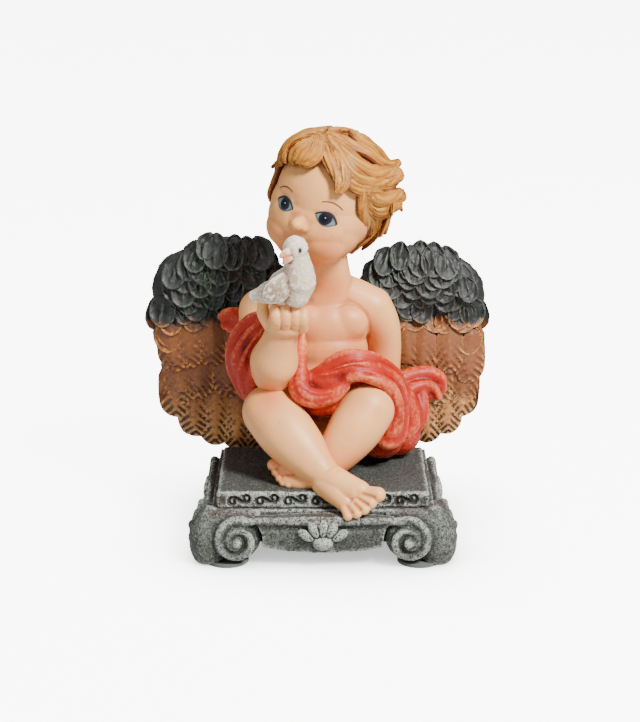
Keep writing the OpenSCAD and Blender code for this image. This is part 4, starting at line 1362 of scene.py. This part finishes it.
def crown_locks():
    """The hair behind: locks that fall from the crown to the nape in three layers."""
    pick = random.Random(11)
    made = []
    for layer, (low, count, fall) in enumerate(CROWN_LAYERS):
        reach = 0.99 + 0.045 * layer
        for i in range(count):
            a = math.radians(-4 + (188 / (count - 1)) * i + (7 if layer % 2 else 0))
            path = []
            for k in range(7):
                t = k / 6
                drop = math.radians(6 + (fall - 6) * t)
                swirl = a + 0.3 * math.sin(t * 3.6 + i * 1.7) * t
                flip = 1 + (0.10 + 0.03 * layer) * max(0, t - 0.7) / 0.3
                x = 0.5 + math.cos(swirl) * math.sin(drop) * 17.2 * reach * flip
                y = 4 + 2.4 * t + math.sin(swirl) * math.sin(drop) * 18.6 * reach * flip
                z = 4.0 - 2.5 * t + math.cos(drop) * 17.3 * reach
                wide = 1.2 + 2.0 * math.sin(math.pi * min(1, t * 1.05 + 0.1)) ** 0.7
                path.append((x, y, max(z, low - 1.5 * t), wide * (1 if k < 6 else 0.3)))
            made.append(lock(path, 100 * layer + i + pick.randrange(3), fine=26))
    return made


def build_hair():
    """The golden hair: a cap of clay under swept locks."""
    head, c = HEAD_FRAME, colours()
    cap = [
        ball(head, (0.4, 5, 5.6), (15.8, 17.2, 15.8), fine=40),
        ball(head, (0.8, 8.5, -2), (14, 12.8, 11.5), fine=32),
        ball(head, (8.6, -0.6, 8.6), (7, 8.4, 7.2)), ball(head, (-8.8, 0.6, 8.2), (6.4, 8, 7.4)),
        ball(head, (12.8, 3.4, 7), (4.8, 8, 7.6)), ball(head, (12.8, 4.4, 0), (4.6, 7, 8)),
        ball(head, (-9.4, 6.8, -1.5), (6.4, 8.4, 10)),
    ]
    core = fuse(cap, "hair_locks", 0.8 * MM, 4)
    note(core, "relief", np.full(len(core.data.vertices), -0.6))
    parts = [core] + crown_locks()
    for i, path in enumerate(LOCKS):
        parts.append(lock(path, i, grooves=5 if max(k[3] for k in path) > 2 else 3))
    made = join(parts, "hair_locks")
    paint = brushed_paint("golden_hair", c.hair, c.hair_deep, c.hair_light, 0.34, 0.5, 0.25,
                          (c.hair_low, 76, 95))
    return finish_piece(made, "hair_paint", paint, "hair")


# ---------------------------------------------------------------------- drape


def drape_paint():
    """Coral red cloth paint, deep in the folds and pale on the ridges."""
    c = colours()
    return brushed_paint("coral_cloth", c.drape, c.drape_deep, c.drape_light, 0.7, 1.0, 0.12)


def cloth(parts, name, node, folds):
    """Fuses one part of the drape and presses its [path, depth, width] folds."""
    made = fuse(parts, name, sizes().body_grain * 0.95, 6)
    for path, depth, width in folds:
        press(made, SEAT_FRAME, path, depth, width)
    roughen(made, 6.0, 0.35, seed=9)
    note_relief(made, 70)
    return finish_piece(made, "drape_paint", drape_paint(), node)


def build_lap_drape():
    """The cloth over the lap, with its hanging loop, its two waist rolls and the hem over the knee."""
    seat = SEAT_FRAME
    parts = [
        roll(seat, [(-6.0, -8.6, 45, 0.7), (-6.4, -9.6, 41.8, 1.3), (-6.6, -10.6, 38.6, 1.8),
                    (-7.1, -11.6, 35, 2.4), (-7.4, -12.6, 30.8, 3.4), (-6.6, -14, 27, 3.6),
                    (-2.4, -15, 25.4, 3.2), (2.6, -15, 26.4, 2.8),
                    (6.2, -14, 29, 2.2)], rings=60, fine=16),
        roll(seat, [(-4.6, -11, 31.8, 1.2), (-1.6, -12.6, 29.8, 1.7), (2, -13.2, 29.8, 1.8),
                    (5.8, -13, 31.6, 1.4)], rings=30),
        roll(seat, [(-3.6, -10.4, 31.6, 1.2), (0.4, -10.6, 34, 1.6), (5.2, -10.8, 37.2, 1.9),
                    (10, -10.2, 37.6, 2.0), (14.8, -8.2, 36.2, 2.0), (19.7, -4.6, 32.4, 2.1),
                    (22.8, -1.6, 29, 2.1), (24.4, 1.4, 24.6, 2.4)], rings=60),
        roll(seat, [(-3.6, -11.4, 30.6, 1.2), (0.8, -12.4, 32.2, 1.8), (5.2, -12.6, 34, 2.3),
                    (9, -12.4, 35, 2.6), (12.8, -11.4, 34.2, 2.8), (17.7, -8.8, 31.8, 2.8),
                    (21.8, -6, 28.2, 2.6), (23.6, -4.6, 24.4, 2.4), (24.4, -4.8, 20, 2.4),
                    (24.6, -5.6, 15.6, 2.4), (24, -7.4, 11.4, 2.4)], rings=80),
        roll(seat, [(6, -13.4, 29.4, 1.4), (8, -14.4, 31.6, 1.8), (10.6, -14.4, 32.4, 2.0),
                    (14.4, -13.6, 31.6, 2.2), (18.4, -12, 29.4, 2.3), (21, -10.6, 26, 2.4),
                    (22.2, -9.8, 22, 2.6), (22.4, -9.4, 18, 2.8), (21.4, -9.6, 13.6, 3.2),
                    (20, -9.8, 10.6, 2.8)], rings=70),
        roll(seat, [(17.4, -9.6, 10.4, 2.2), (20.4, -10.2, 9.4, 2.6), (23.8, -8, 10.4, 2.2)], rings=20),
        roll(seat, [(24.8, 2.6, 24.4, 1.7), (26.0, 1.2, 20, 2.4), (27.2, 0.4, 15.4, 3), (27.4, -0.4, 11.6, 3),
                    (25.8, -1.8, 9.6, 2.4)], rings=36),
        ball(seat, (20.4, 1, 20), (6, 9, 13), (0, -8, 0)), ball(seat, (18, 0, 8), (8, 9, 7)),
        ball(seat, (2, -4, 25), (11, 8.6, 6.6)), ball(seat, (8, -6, 32), (9, 6, 5)),
        ball(seat, (0, -7, 22), (8, 6, 5)), ball(seat, (-9, -3, 19), (9, 8, 6)),
        ball(seat, (-2, 10, 14), (18, 7, 13)), ball(seat, (15, 6, 24), (9, 8, 7)),
        ball(seat, (12, -6, 26), (8, 6, 6)),
    ]
    folds = [([(-2, -13, 33), (4, -14, 35.8), (10, -13.6, 37), (16, -10, 34.6), (21, -6, 30.6)], 1.0, 0.6),
             ([(4, -16, 31), (9, -17, 34), (15, -15, 33), (20, -12, 29), (22.6, -9, 24)], 0.9, 0.6),
             ([(-4, -15, 31.6), (1, -16, 30.4), (6, -16.6, 32), (11, -17, 33.4)], 0.8, 0.5),
             ([(-6, -17, 28.6), (-2, -18, 27.2), (3, -18, 27.8), (7, -17, 30)], 0.7, 0.5),
             ([(-5, -13, 33), (0, -14, 33.4), (5, -14.6, 34.6), (10, -14.6, 35.4), (15, -13, 33.6)],
              0.6, 0.45),
             ([(21, -13, 26), (21.8, -12.6, 20), (20.6, -13, 13)], 0.7, 0.5),
             ([(18, -15, 28), (20, -13.6, 24), (19.6, -13, 18)], 0.5, 0.5),
             ([(-7.6, -14, 38), (-9, -15, 32), (-7.6, -17.6, 27), (-2, -18.6, 25), (4, -17.6, 27)], 0.4, 0.7),
             ([(24.6, -8, 26), (25.4, -8.4, 20), (25, -9.8, 14)], 0.5, 0.6)]
    return cloth(parts, "lap_drape_cloth", "lap_drape", folds)


def build_arm_drape():
    """The cloth that hangs from the bent arm in long slanting folds, with its end behind."""
    seat = SEAT_FRAME
    parts = [
        roll(seat, [(-18.4, -10.5, 51, 0.9), (-22.6, -8.6, 48.4, 1.7), (-26, -6.4, 43.4, 2.1),
                    (-28, -4.6, 37.6, 2.2), (-28, -3.6, 32, 2.0), (-26.6, -3.2, 27, 1.9),
                    (-24.4, -3.6, 22.6, 1.5)], rings=60,
             fine=14),
        roll(seat, [(-18.2, -11.4, 49.4, 1.0), (-22, -10.2, 45.8, 1.9), (-25, -8.4, 40.2, 2.4),
                    (-26.4, -7, 35.4, 2.2), (-25.8, -6, 30.6, 1.8)], rings=50, fine=14),
        roll(seat, [(-17.8, -11.2, 47, 1.0), (-21.2, -10.4, 42.4, 1.9), (-23.8, -9, 37.4, 2.3),
                    (-24.8, -7.6, 33, 2.2), (-24.2, -6.4, 27.6, 2.4),
                    (-22.8, -6.8, 23.2, 1.8)], rings=50, fine=14),
        roll(seat, [(-18.6, -9.4, 44.4, 1.4), (-20.6, -9, 38, 2.4), (-21.8, -8, 32.4, 2.8),
                    (-21.8, -7.4, 27, 2.6), (-21, -8, 23.4, 1.6)],
             rings=44, fine=14),
        ball(seat, (-23, -2, 37), (5.4, 6.6, 12), (0, 8, 0)), ball(seat, (-22, -2, 27), (4.6, 5.6, 8)),
        roll(seat, [(-22, 4, 44, 3.6), (-26, 8.5, 44.4, 3.2), (-29.6, 12, 44.2, 2.6), (-32, 14, 43, 1.7)],
             rings=36, flat=0.6),
        roll(seat, [(-22, 5, 40, 3.4), (-27, 10, 40.6, 2.8), (-31.4, 13.4, 40.6, 1.6)], rings=30, flat=0.6),
        ball(seat, (-21, 4, 36), (4.6, 6, 10)), ball(seat, (-17, 11, 24), (6, 5, 11)),
    ]
    folds = [([(-20, -12.6, 50), (-25.6, -9.6, 43), (-28.4, -7, 34)], 0.9, 0.5),
             ([(-19.6, -13, 47.2), (-24.4, -11, 40), (-26.4, -9, 33)], 0.9, 0.5),
             ([(-19.4, -12.4, 44), (-22.6, -11, 38), (-23.6, -9.6, 30)], 0.8, 0.5),
             ([(-27.6, -7, 31), (-24, -9.4, 33)], 0.4, 0.6)]
    return cloth(parts, "arm_drape_cloth", "arm_drape", folds)


def build_drape_tail():
    """The end of the cloth beside the hip, which ripples up in a ribbon."""
    seat = SEAT_FRAME
    parts = [
        roll(seat, [(24, 4, 20, 2.2), (27.1, 5.2, 21.2, 2.2), (31.4, 7, 22.6, 2.0), (34.8, 8.4, 21.4, 1.9),
                    (36.8, 9, 18.2, 1.4)], rings=40, fine=14),
        roll(seat, [(25, 9, 24, 2.4), (29, 10.4, 25.2, 2.5), (33.4, 11.6, 25.2, 2.5), (37.4, 12, 23.2, 2.2),
                    (38.4, 11.4, 19.8, 1.4)], rings=40, fine=14),
        roll(seat, [(30, 8, 20, 2.0), (34, 10, 19, 2.4), (36.4, 10.4, 18.6, 1.8)], rings=24, fine=14),
        roll(seat, [(31.4, 6.6, 21, 1.9), (31.2, 4.8, 16.6, 2.3), (31.4, 3.4, 13, 2.3), (29, 1.8, 10.2, 2.4)],
             rings=36, fine=14),
        roll(seat, [(27, 3, 20, 2.2), (28.6, 2.4, 15, 2.6), (28.6, 1.4, 11, 2.6)], rings=30, fine=14),
        ball(seat, (27, 6, 15), (5, 5.6, 7)), ball(seat, (24, 3, 8), (7, 7, 7)),
        ball(seat, (30, 10, 22), (5.4, 3, 3.4)),
    ]
    folds = [([(28.6, 6, 23.8), (33, 8.6, 23.8), (36.6, 10.4, 21.4)], 0.6, 0.7),
             ([(29.6, 1, 19), (29.9, 0, 14), (29.4, -1, 11)], 0.5, 0.6)]
    return cloth(parts, "drape_tail_cloth", "drape_tail", folds)


# ---------------------------------------------------------------------- wings


EDGE_FALL = 0.28


def skin_of(core, front):
    """A function that gives the y of a core's front or back face at x and z of the seat frame.

    Past the core's edge the face is carried on, falling away from the edge.
    """
    inverse = np.linalg.inv(np.array(SEAT_FRAME))
    co = co_of(core.data) @ inverse[:3, :3].T + inverse[:3, 3]
    tree = BVHTree.FromPolygons(co.tolist(), [tuple(f.vertices) for f in core.data.polygons])
    pitch = 0.9
    low, high = co.min(0) - 12, co.max(0) + 12
    xs, zs = np.arange(low[0], high[0], pitch), np.arange(low[2], high[2], pitch)
    start, way = (low[1], 1) if front else (high[1], -1)
    face = np.full((len(xs), len(zs)), np.nan)
    for i, x in enumerate(xs):
        for k, z in enumerate(zs):
            hit = tree.ray_cast(Vector((x, start, z)), Vector((0, way, 0)))[0]
            if hit:
                face[i, k] = hit[1]
    while np.isnan(face).any():
        wide = np.pad(face, 1, constant_values=np.nan)
        near = np.stack([wide[a:len(xs) + a, b:len(zs) + b] for a in range(3) for b in range(3)])
        count = np.sum(~np.isnan(near), 0)
        fill = np.isnan(face) & (count > 0)
        face[fill] = np.nansum(near, 0)[fill] / count[fill] + way * EDGE_FALL

    def face_y(x, z):
        u = np.clip((x - xs[0]) / pitch, 0, len(xs) - 1.001)
        v = np.clip((z - zs[0]) / pitch, 0, len(zs) - 1.001)
        i, k = u.astype(int), v.astype(int)
        u, v = u - i, v - k
        return (face[i, k] * (1 - u) * (1 - v) + face[i + 1, k] * u * (1 - v)
                + face[i, k + 1] * (1 - u) * v + face[i + 1, k + 1] * u * v)

    return face_y


def feather(face_y, side, at, long, wide, lean, lift, pattern, fine, rings, rim, cut, front=True):
    """One feather laid over a wing's face: a rounded leaf with a raised rim, a shaft and cut barbs.

    It hangs from at, [x, z], and lean turns its tip outwards. Its root is buried and its tip stands
    proud by lift. pattern is "fan" for small feathers or "barbs" for long ones.
    """
    made, ring, turn = ringed_ball(fine, rings)
    fan = pattern == "fan"
    t = ring / rings
    u = np.cos(turn)
    outside = np.sin(turn) < 0 if front else np.sin(turn) > 0
    # The outline: it widens from the root and is closed by a rounded tip.
    tip = min(0.6, wide * 0.55 / long)
    past = (t - 1 + tip) / tip
    body = 0.72 + 0.28 * np.sin(np.clip(t / (1 - tip), 0, 1) * math.pi / 2)
    half = np.where(t > 1 - tip, np.sqrt(np.clip(1 - past**2, 0, 1)), body)
    half = wide / 2 * half * np.sqrt(np.clip(t / 0.3, 0, 1))
    x, down = half * u, long * t
    across = x / (wide / 2)
    border = np.where(past > 0, np.sqrt(across**2 + past**2), np.abs(u))
    # The carving: a rim, a shaft and the grooves between the barbs.
    ridge = np.exp(-(((border - 0.86) / 0.10) ** 2)) * rim
    shaft = np.exp(-((across / 0.09) ** 2)) * rim * 0.8 * np.clip(1 - past, 0, 1)
    if fan:
        run = u * math.pi * 3.4 + 0.5 * np.sin(t * 5 + at[0])
        lines = np.cos(run) * np.clip(1.1 - border, 0, 1) * np.clip(t * 2, 0, 1)
    else:
        run = (down - 1.15 * np.abs(x)) * 2 * math.pi / 2.7 + 0.9 * np.sign(u)
        run += 1.1 * np.sin(3 * across + at[0]) + 0.9 * np.sin(t * 9 + at[1])
        inner = np.clip(border * 3.4 - 0.35, 0, 1) * np.clip((0.99 - border) * 8, 0, 1)
        lines = np.cos(run) * inner * np.clip((t - 0.25) / 0.4, 0.25, 1)
    groove = -np.clip(-lines - 0.3, 0, 1) * cut * 1.4
    dish = -0.75 if fan else 0.9
    rise = lift * (0.15 + 0.85 * t) + dish * (1 - np.clip(border, 0, 1) ** 2.4)
    rise = rise * np.clip(t / 0.12, 0, 1) + ridge + shaft + groove
    edge_drop = np.clip((border - 0.93) / 0.07, 0, 1) * (lift * 0.5 + 0.3)
    b = math.radians(lean) * side
    px = side * at[0] + x * math.cos(b) + down * math.sin(b)
    pz = at[1] + x * math.sin(b) - down * math.cos(b)
    way = -1 if front else 1
    y = face_y(px, pz) + way * np.where(outside, rise - edge_drop, -1.2)
    set_co(made.data, to_place(SEAT_FRAME, np.column_stack([px, y, pz])))
    rim_paint, line_paint = (0.55, 0.24) if fan else (0.9, 0.26)
    marks = ridge * rim_paint + shaft * 0.4 + groove * 1.1 + line_paint * lines
    note(made, "relief", np.where(outside, marks - 0.04 - 0.5 * np.clip(0.35 - t, 0, 1), -0.3))
    return made


# The wings' rounded top: its middle x and z, and its half width and height.
DOME = (30.5, 56.5, 19.6, 13.3)


def under_top(x, inset):
    """The height that lies an inset under the wing's rounded top edge."""
    across = np.clip((x - DOME[0]) / DOME[2], -0.97, 0.97)
    return DOME[1] + DOME[3] * math.sqrt(1 - across**2) - inset


# Both wings are drawn at one size, between these edges, and fitted to their own.
WING_INNER, DRAWN_OUTER, DRAWN_TOP, DRAWN_FOOT = 9.0, 56.0, 70.0, -4.0
WING_CORE = [
    # x, z, then half sizes across, through and up
    (30.5, 56.6, 17.4, 4.6, 12.4), (43.5, 50, 12.4, 4.4, 14.4), (45, 37, 10.4, 3.8, 16),
    (20, 50, 11, 4.4, 13.6), (34, 29, 20, 3.6, 20), (31.5, 12, 18, 2.8, 14.6), (25, 5.5, 11.5, 2.4, 8.4),
    (42, 14, 8.6, 2.6, 11),
]
LONG_FEATHERS = [
    # root x, root z, length, lean
    (13.5, 20, 20, 2), (20, 19.4, 22.6, 3), (27, 20, 23.6, 3), (34.5, 21.4, 23.6, 2), (42, 24.2, 23.2, 0),
    (48.8, 28.6, 21.4, -4),
]
FEATHER_ROWS = [
    # root height, length, width, how many, from x, to x, tip lift
    (33, 18.5, 12.0, 5, 13, 48, 1.9), (43.5, 18, 11.2, 6, 11.5, 50, 2.1),
]
SCALLOP_ROWS = [
    # inset from the top edge, how many, from x, to x
    (20.5, 7, 10.5, 49), (17.0, 8, 11.5, 50), (13.4, 8, 12.5, 50), (9.8, 8, 13.5, 49.6), (6.2, 8, 15, 48),
    (3.0, 7, 17.5, 45.5), (0.4, 6, 22, 41),
]
WINGS = [
    # piece, node, side, outer edge, top, foot, seed
    ("right_wing_feathers", "right_wing", -1, 56.0, 69.6, -4.0, 21),
    ("left_wing_feathers", "left_wing", 1, 53.0, 66.6, -3.0, 34),
]


def build_wing(name, node, side, outer, top, foot, seed):
    """One wing: a rounded body, small scalloped feathers above, broad ones below and long tips."""
    pick = random.Random(seed)
    grow_x = (outer - WING_INNER) / (DRAWN_OUTER - WING_INNER)
    grow_z = (top - foot) / (DRAWN_TOP - DRAWN_FOOT)

    def fit(x, z):
        return WING_INNER + (x - WING_INNER) * grow_x, foot + (z - DRAWN_FOOT) * grow_z

    clay = []
    for x, z, half_x, half_y, half_z in WING_CORE:
        px, pz = fit(x, z)
        half = (half_x * grow_x - 0.8, half_y, half_z * grow_z - 0.8)
        clay.append(ball(SEAT_FRAME, (side * px, 18.6 + 0.12 * (x - WING_INNER), pz), half, fine=28))
    clay.append(roll(SEAT_FRAME, [(side * 7, 15.8, 42, 4), (side * 16, 18, 45, 5)], rings=20))
    core = fuse(clay, name, 0.7 * MM, 12)
    front, back = skin_of(core, True), skin_of(core, False)
    roughen(core, 2.0, 0.4, seed)
    note(core, "relief", np.full(len(core.data.vertices), -0.2))
    parts = [core]

    def lay_front(at, long, wide, lean, lift, pattern, fine, rings, rim, cut):
        parts.append(feather(front, side, at, long, wide, lean, lift, pattern, fine, rings, rim, cut))

    def lay_back(at, long, wide, lean, lift, pattern, fine, rings, rim, cut):
        parts.append(feather(back, side, at, long, wide, lean, lift, pattern, fine, rings, rim, cut,
                             front=False))

    for x, z, long, lean in LONG_FEATHERS:
        at, long = fit(x, z), long * grow_z
        lay_front(at, long, 10.8 * grow_x, lean + pick.uniform(-2, 2), 1.7, "barbs", 48, 50, 0.2, 0.7)
        lay_back(at, long, 11.4 * grow_x, lean, 0.9, "barbs", 32, 30, 0.3, 0.4)
    for z, long, wide, count, x0, x1, lift in FEATHER_ROWS:
        wide *= grow_x
        for i in range(count):
            u = i / (count - 1)
            x = x0 + (x1 - x0) * u + pick.uniform(-0.8, 0.8)
            at = fit(x, z - 3.4 * (u - 0.55) ** 2 * 4 + pick.uniform(-1.1, 1.1))
            lean = 6 - 12 * u + pick.uniform(-6, 6)
            lay_front(at, long * pick.uniform(0.92, 1.06), wide, lean, lift, "barbs", 36, 34, 0.25, 0.85)
            lay_back(at, long, wide, lean, lift, "barbs", 28, 24, 0.3, 0.35)
    for row, (inset, count, x0, x1) in enumerate(SCALLOP_ROWS):
        for i in range(count):
            u = (i + 0.25 * (row % 2)) / (count - 1 + 0.25)
            x = x0 + (x1 - x0) * u + pick.uniform(-1.0, 1.0)
            lean = 5 * row * (u - 0.5) + pick.uniform(-16, 16)
            at = fit(x, under_top(x, inset + pick.uniform(-0.8, 1.2)))
            size = pick.uniform(0.78, 1.12)
            lift = pick.uniform(1.2, 2.6)
            lay_front(at, 10.6 * size, 8.8 * size, lean, lift, "fan", 32, 20,
                      0.55 * pick.uniform(0.6, 1.2), 0.8)
            if row % 2 == 1:
                lay_back(at, 13 * size, 10.4, lean, 1.3, "fan", 24, 16, 0.42, 0.42)
    return finish_piece(join(parts, name), "wing_paint", feather_paint(), node)


# ----------------------------------------------------------------------- dove


DOVE_AT = Vector((-9.6, -22.0, 62.6))


def build_dove():
    """The small dove that stands on the fingers and looks up."""
    dove = SEAT_FRAME @ Matrix.Translation(DOVE_AT)
    parts = [
        roll(dove, [(1.8, -0.4, -2.4, 4.2), (2.3, -0.4, 0.8, 5.2), (2.3, -0.8, 4.6, 4.7),
                    (2.0, -1.4, 8.4, 3.7)], rings=34, fine=28),
        ball(dove, (1.5, -1.8, 11.5), (3.7, 3.6, 3.8), fine=28),
        ball(dove, (-1.8, 1.2, -1.4), (6, 4.6, 4.6), (0, -20, 0)),
        roll(dove, [(-3, 2, -2, 4.4), (-7, 3.2, -3.4, 3.4), (-10.6, 4.2, -4.4, 2.0)], rings=24, flat=0.8),
        ball(dove, (-2.6, -3.0, 0), (6.4, 2.2, 3.9), (0, -34, 8)),
        ball(dove, (-1.6, 5.2, 0), (6.4, 2.2, 3.9), (0, -34, -8)),
        roll(dove, [(-0.6, -4.2, 10.9, 1.5), (-2.0, -5.3, 10.4, 1.05), (-2.9, -6.0, 9.9, 0.5)], rings=16,
             fine=14),
        roll(dove, [(-0.2, -4.2, 9.5, 1.35), (-1.3, -5.3, 8.6, 1.0), (-2.0, -5.8, 8.0, 0.5)], rings=16,
             fine=14),
    ]
    made = fuse(parts, "dove_feathers", 0.26 * MM, 3)
    pick = random.Random(5)
    for _ in range(26):
        u, w = pick.random(), pick.random()
        x, z = -12.5 + 12.5 * u, -4.4 + 6.5 * w + 1.6 * u
        press(made, dove, [(x - 0.9, -6, z + 0.8), (x, -6.4, z), (x + 0.9, -6, z + 0.6)], 0.3, 0.45, 12)
    roughen(made, 0.8, 0.1, seed=8)
    roughen(made, 1.8, 0.14, seed=12)
    press(made, dove, [(0.2, -5.2, 10.3), (-1.4, -6, 9.5), (-2.6, -6, 8.9)], 0.4, 0.3, 20)
    note_relief(made, 20)
    glow(made, "wing_wash", dove, [(-5, -4, -1, 5.2, 1.3), (-1, -5, 3, 3, 0.5), (-9, -1, -2, 3.6, 0.7),
                                   (-1.6, -4, 5.6, 2, 0.5)])
    glow(made, "beak", dove, [(-1.9, -5.6, 10.5, 1.2, 1.2), (-1.2, -5.4, 8.6, 1.2, 1.2),
                              (-0.6, -5, 9.6, 1.2, 0.7)])
    glow(made, "dark", dove, [(3.0, -5.2, 12.0, 0.5, 1.6), (3.0, -5.2, 11.3, 0.5, 1.6),
                              (-2.9, -6, 10.4, 0.35, 1.0), (-2.0, -6, 8.2, 0.35, 0.9)])
    return finish_piece(made, "dove_paint", dove_paint(), "dove")


# ---------------------------------------------------------------------- stage


CAMERA_AIM = Vector((0, 3, 60))
CAMERA_REACH, CAMERA_RISE = 560.0, 16.0
CAMERA_LENS, SENSOR_WIDTH = 89.91, 36
CAMERA_SHIFT = (-0.00416, -0.0271)
LAMPS_AIM = Vector((0, 0, 0.06))
LAMPS = [
    # name, place in metres, size, power, tint
    ("key", (0.62, -0.62, 0.95), 0.3, 44, (1.0, 0.985, 0.96)),
    ("fill", (-0.8, -0.5, 0.6), 0.9, 4, (0.98, 0.99, 1.0)),
    ("top", (0.0, 0.35, 1.1), 0.8, 8, (1.0, 1.0, 1.0)),
]


def build_stage():
    """A pale table that glows for the camera, with a painted contact shadow round the figurine, soft studio
    light and the camera.
    """
    deselect()
    bpy.ops.mesh.primitive_plane_add(size=4, location=(0, 0.6, 0))
    floor = bpy.context.object
    bpy.ops.object.transform_apply(location=True, rotation=True, scale=True)
    floor.name = "table"
    paint, p, shader = new_paint("white_table", 0.7)
    shader.inputs["Base Color"].default_value = (0.5, 0.495, 0.49, 1)
    shader.inputs["Emission Color"].default_value = (1, 0.99, 0.985, 1)
    seen = p.add("ShaderNodeLightPath")
    # Painted shadow: ambient occlusion dims the table's glow near the figurine.
    near = p.add("ShaderNodeAmbientOcclusion", samples=8)
    near.inputs["Distance"].default_value = 0.035
    table_glow_and_contact_shadow = p.sum("MULTIPLY_ADD", p.sum("POWER", near.outputs["AO"], 1.6), 7.4, 0.6)
    p.feed(shader.inputs["Emission Strength"], p.times(seen.outputs["Is Camera Ray"], table_glow_and_contact_shadow))
    floor.data.materials.append(paint)

    for name, at, size, power, tint in LAMPS:
        deselect()
        bpy.ops.object.light_add(type="AREA", location=at)
        made = bpy.context.object
        made.name = name
        made.data.size = size
        made.data.energy = power
        made.data.color = tint
        made.rotation_euler = (LAMPS_AIM - Vector(at)).to_track_quat("-Z", "Y").to_euler()
    world = bpy.data.worlds.new("white_room")
    bpy.context.scene.world = world
    world.use_nodes = True
    sky = world.node_tree.nodes["Background"]
    sky.inputs["Color"].default_value = (1, 0.995, 0.99, 1)
    sky.inputs["Strength"].default_value = 0.17

    rise = math.radians(CAMERA_RISE)
    deselect()
    back = Vector((0, -math.cos(rise), math.sin(rise)))
    bpy.ops.object.camera_add(location=(CAMERA_AIM + back * CAMERA_REACH) * MM,
                              rotation=(math.pi / 2 - rise, 0, 0))
    camera = bpy.context.object
    camera.name = "studio_camera"
    camera.data.lens = CAMERA_LENS
    camera.data.sensor_width = SENSOR_WIDTH
    camera.data.shift_x, camera.data.shift_y = CAMERA_SHIFT
    camera.data.clip_start = 0.01
    bpy.context.scene.camera = camera


# ------------------------------------------------------------------ operators


class CHERUB_OT_pedestal(bpy.types.Operator):
    """Builds up the base with its rails and leaf trims"""
    bl_idname = "cherub.pedestal"
    bl_label = "Pedestal"

    def execute(self, context):
        build_pedestal()
        return {"FINISHED"}


class CHERUB_OT_scrolls(bpy.types.Operator):
    """Rolls the corner scrolls"""
    bl_idname = "cherub.scrolls"
    bl_label = "Corner scrolls"

    def execute(self, context):
        build_corner_scrolls()
        return {"FINISHED"}


class CHERUB_OT_palmettes(bpy.types.Operator):
    """Adds the flowers on the sides"""
    bl_idname = "cherub.palmettes"
    bl_label = "Palmettes"

    def execute(self, context):
        build_palmettes()
        return {"FINISHED"}


class CHERUB_OT_slab(bpy.types.Operator):
    """Cuts the seat slab and its frieze, and finishes the pads"""
    bl_idname = "cherub.slab"
    bl_label = "Seat slab and pads"

    def execute(self, context):
        build_seat_slab()
        build_base_pads()
        return {"FINISHED"}


class CHERUB_OT_torso(bpy.types.Operator):
    """Models the torso and the left arm"""
    bl_idname = "cherub.torso"
    bl_label = "Torso and left arm"

    def execute(self, context):
        build_torso()
        return {"FINISHED"}


class CHERUB_OT_right_arm(bpy.types.Operator):
    """Models the raised arm and its hand"""
    bl_idname = "cherub.right_arm"
    bl_label = "Right arm and hand"

    def execute(self, context):
        build_right_arm()
        build_right_hand()
        return {"FINISHED"}


class CHERUB_OT_legs(bpy.types.Operator):
    """Models both legs and both feet"""
    bl_idname = "cherub.legs"
    bl_label = "Legs and feet"

    def execute(self, context):
        for build in (build_right_leg, build_left_leg, build_right_foot, build_left_foot):
            build()
        return {"FINISHED"}


class CHERUB_OT_head(bpy.types.Operator):
    """Models and paints the face"""
    bl_idname = "cherub.head"
    bl_label = "Head"

    def execute(self, context):
        build_head()
        return {"FINISHED"}


class CHERUB_OT_hair(bpy.types.Operator):
    """Lays the locks of hair"""
    bl_idname = "cherub.hair"
    bl_label = "Hair"

    def execute(self, context):
        build_hair()
        return {"FINISHED"}


class CHERUB_OT_drape(bpy.types.Operator):
    """Folds the three parts of the cloth"""
    bl_idname = "cherub.drape"
    bl_label = "Drape"

    def execute(self, context):
        build_lap_drape()
        build_arm_drape()
        build_drape_tail()
        return {"FINISHED"}


class CHERUB_OT_wings(bpy.types.Operator):
    """Feathers both wings"""
    bl_idname = "cherub.wings"
    bl_label = "Wings"

    def execute(self, context):
        for wing in WINGS:
            build_wing(*wing)
        return {"FINISHED"}


class CHERUB_OT_dove(bpy.types.Operator):
    """Models the dove"""
    bl_idname = "cherub.dove"
    bl_label = "Dove"

    def execute(self, context):
        build_dove()
        return {"FINISHED"}


class CHERUB_OT_stage(bpy.types.Operator):
    """Sets the table, the light and the camera"""
    bl_idname = "cherub.stage"
    bl_label = "Stage"

    def execute(self, context):
        build_stage()
        return {"FINISHED"}


OPERATORS = (CHERUB_OT_stage, CHERUB_OT_pedestal, CHERUB_OT_scrolls, CHERUB_OT_palmettes, CHERUB_OT_slab,
             CHERUB_OT_torso, CHERUB_OT_right_arm, CHERUB_OT_legs, CHERUB_OT_head, CHERUB_OT_hair,
             CHERUB_OT_drape, CHERUB_OT_wings, CHERUB_OT_dove)


class CHERUB_PT_panel(bpy.types.Panel):
    """Lists the steps in order"""
    bl_idname = "CHERUB_PT_panel"
    bl_label = "Cherub Figurine"
    bl_space_type = "VIEW_3D"
    bl_region_type = "UI"
    bl_category = "Cherub"

    def draw(self, context):
        for group in (context.scene.cherub_sizes, context.scene.cherub_colours):
            for name in group.__annotations__:
                self.layout.prop(group, name)
        for step in OPERATORS:
            self.layout.operator(step.bl_idname)


CLASSES = (CherubSizes, CherubColours, *OPERATORS, CHERUB_PT_panel)


def register():
    for item in CLASSES:
        bpy.utils.register_class(item)
    bpy.types.Scene.cherub_sizes = PointerProperty(type=CherubSizes)
    bpy.types.Scene.cherub_colours = PointerProperty(type=CherubColours)


def unregister():
    del bpy.types.Scene.cherub_colours
    del bpy.types.Scene.cherub_sizes
    for item in reversed(CLASSES):
        bpy.utils.unregister_class(item)


def main():
    """Registers the add-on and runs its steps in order."""
    register()
    for step in OPERATORS:
        family, name = step.bl_idname.split(".")
        getattr(getattr(bpy.ops, family), name)()


if __name__ == "__main__":
    main()
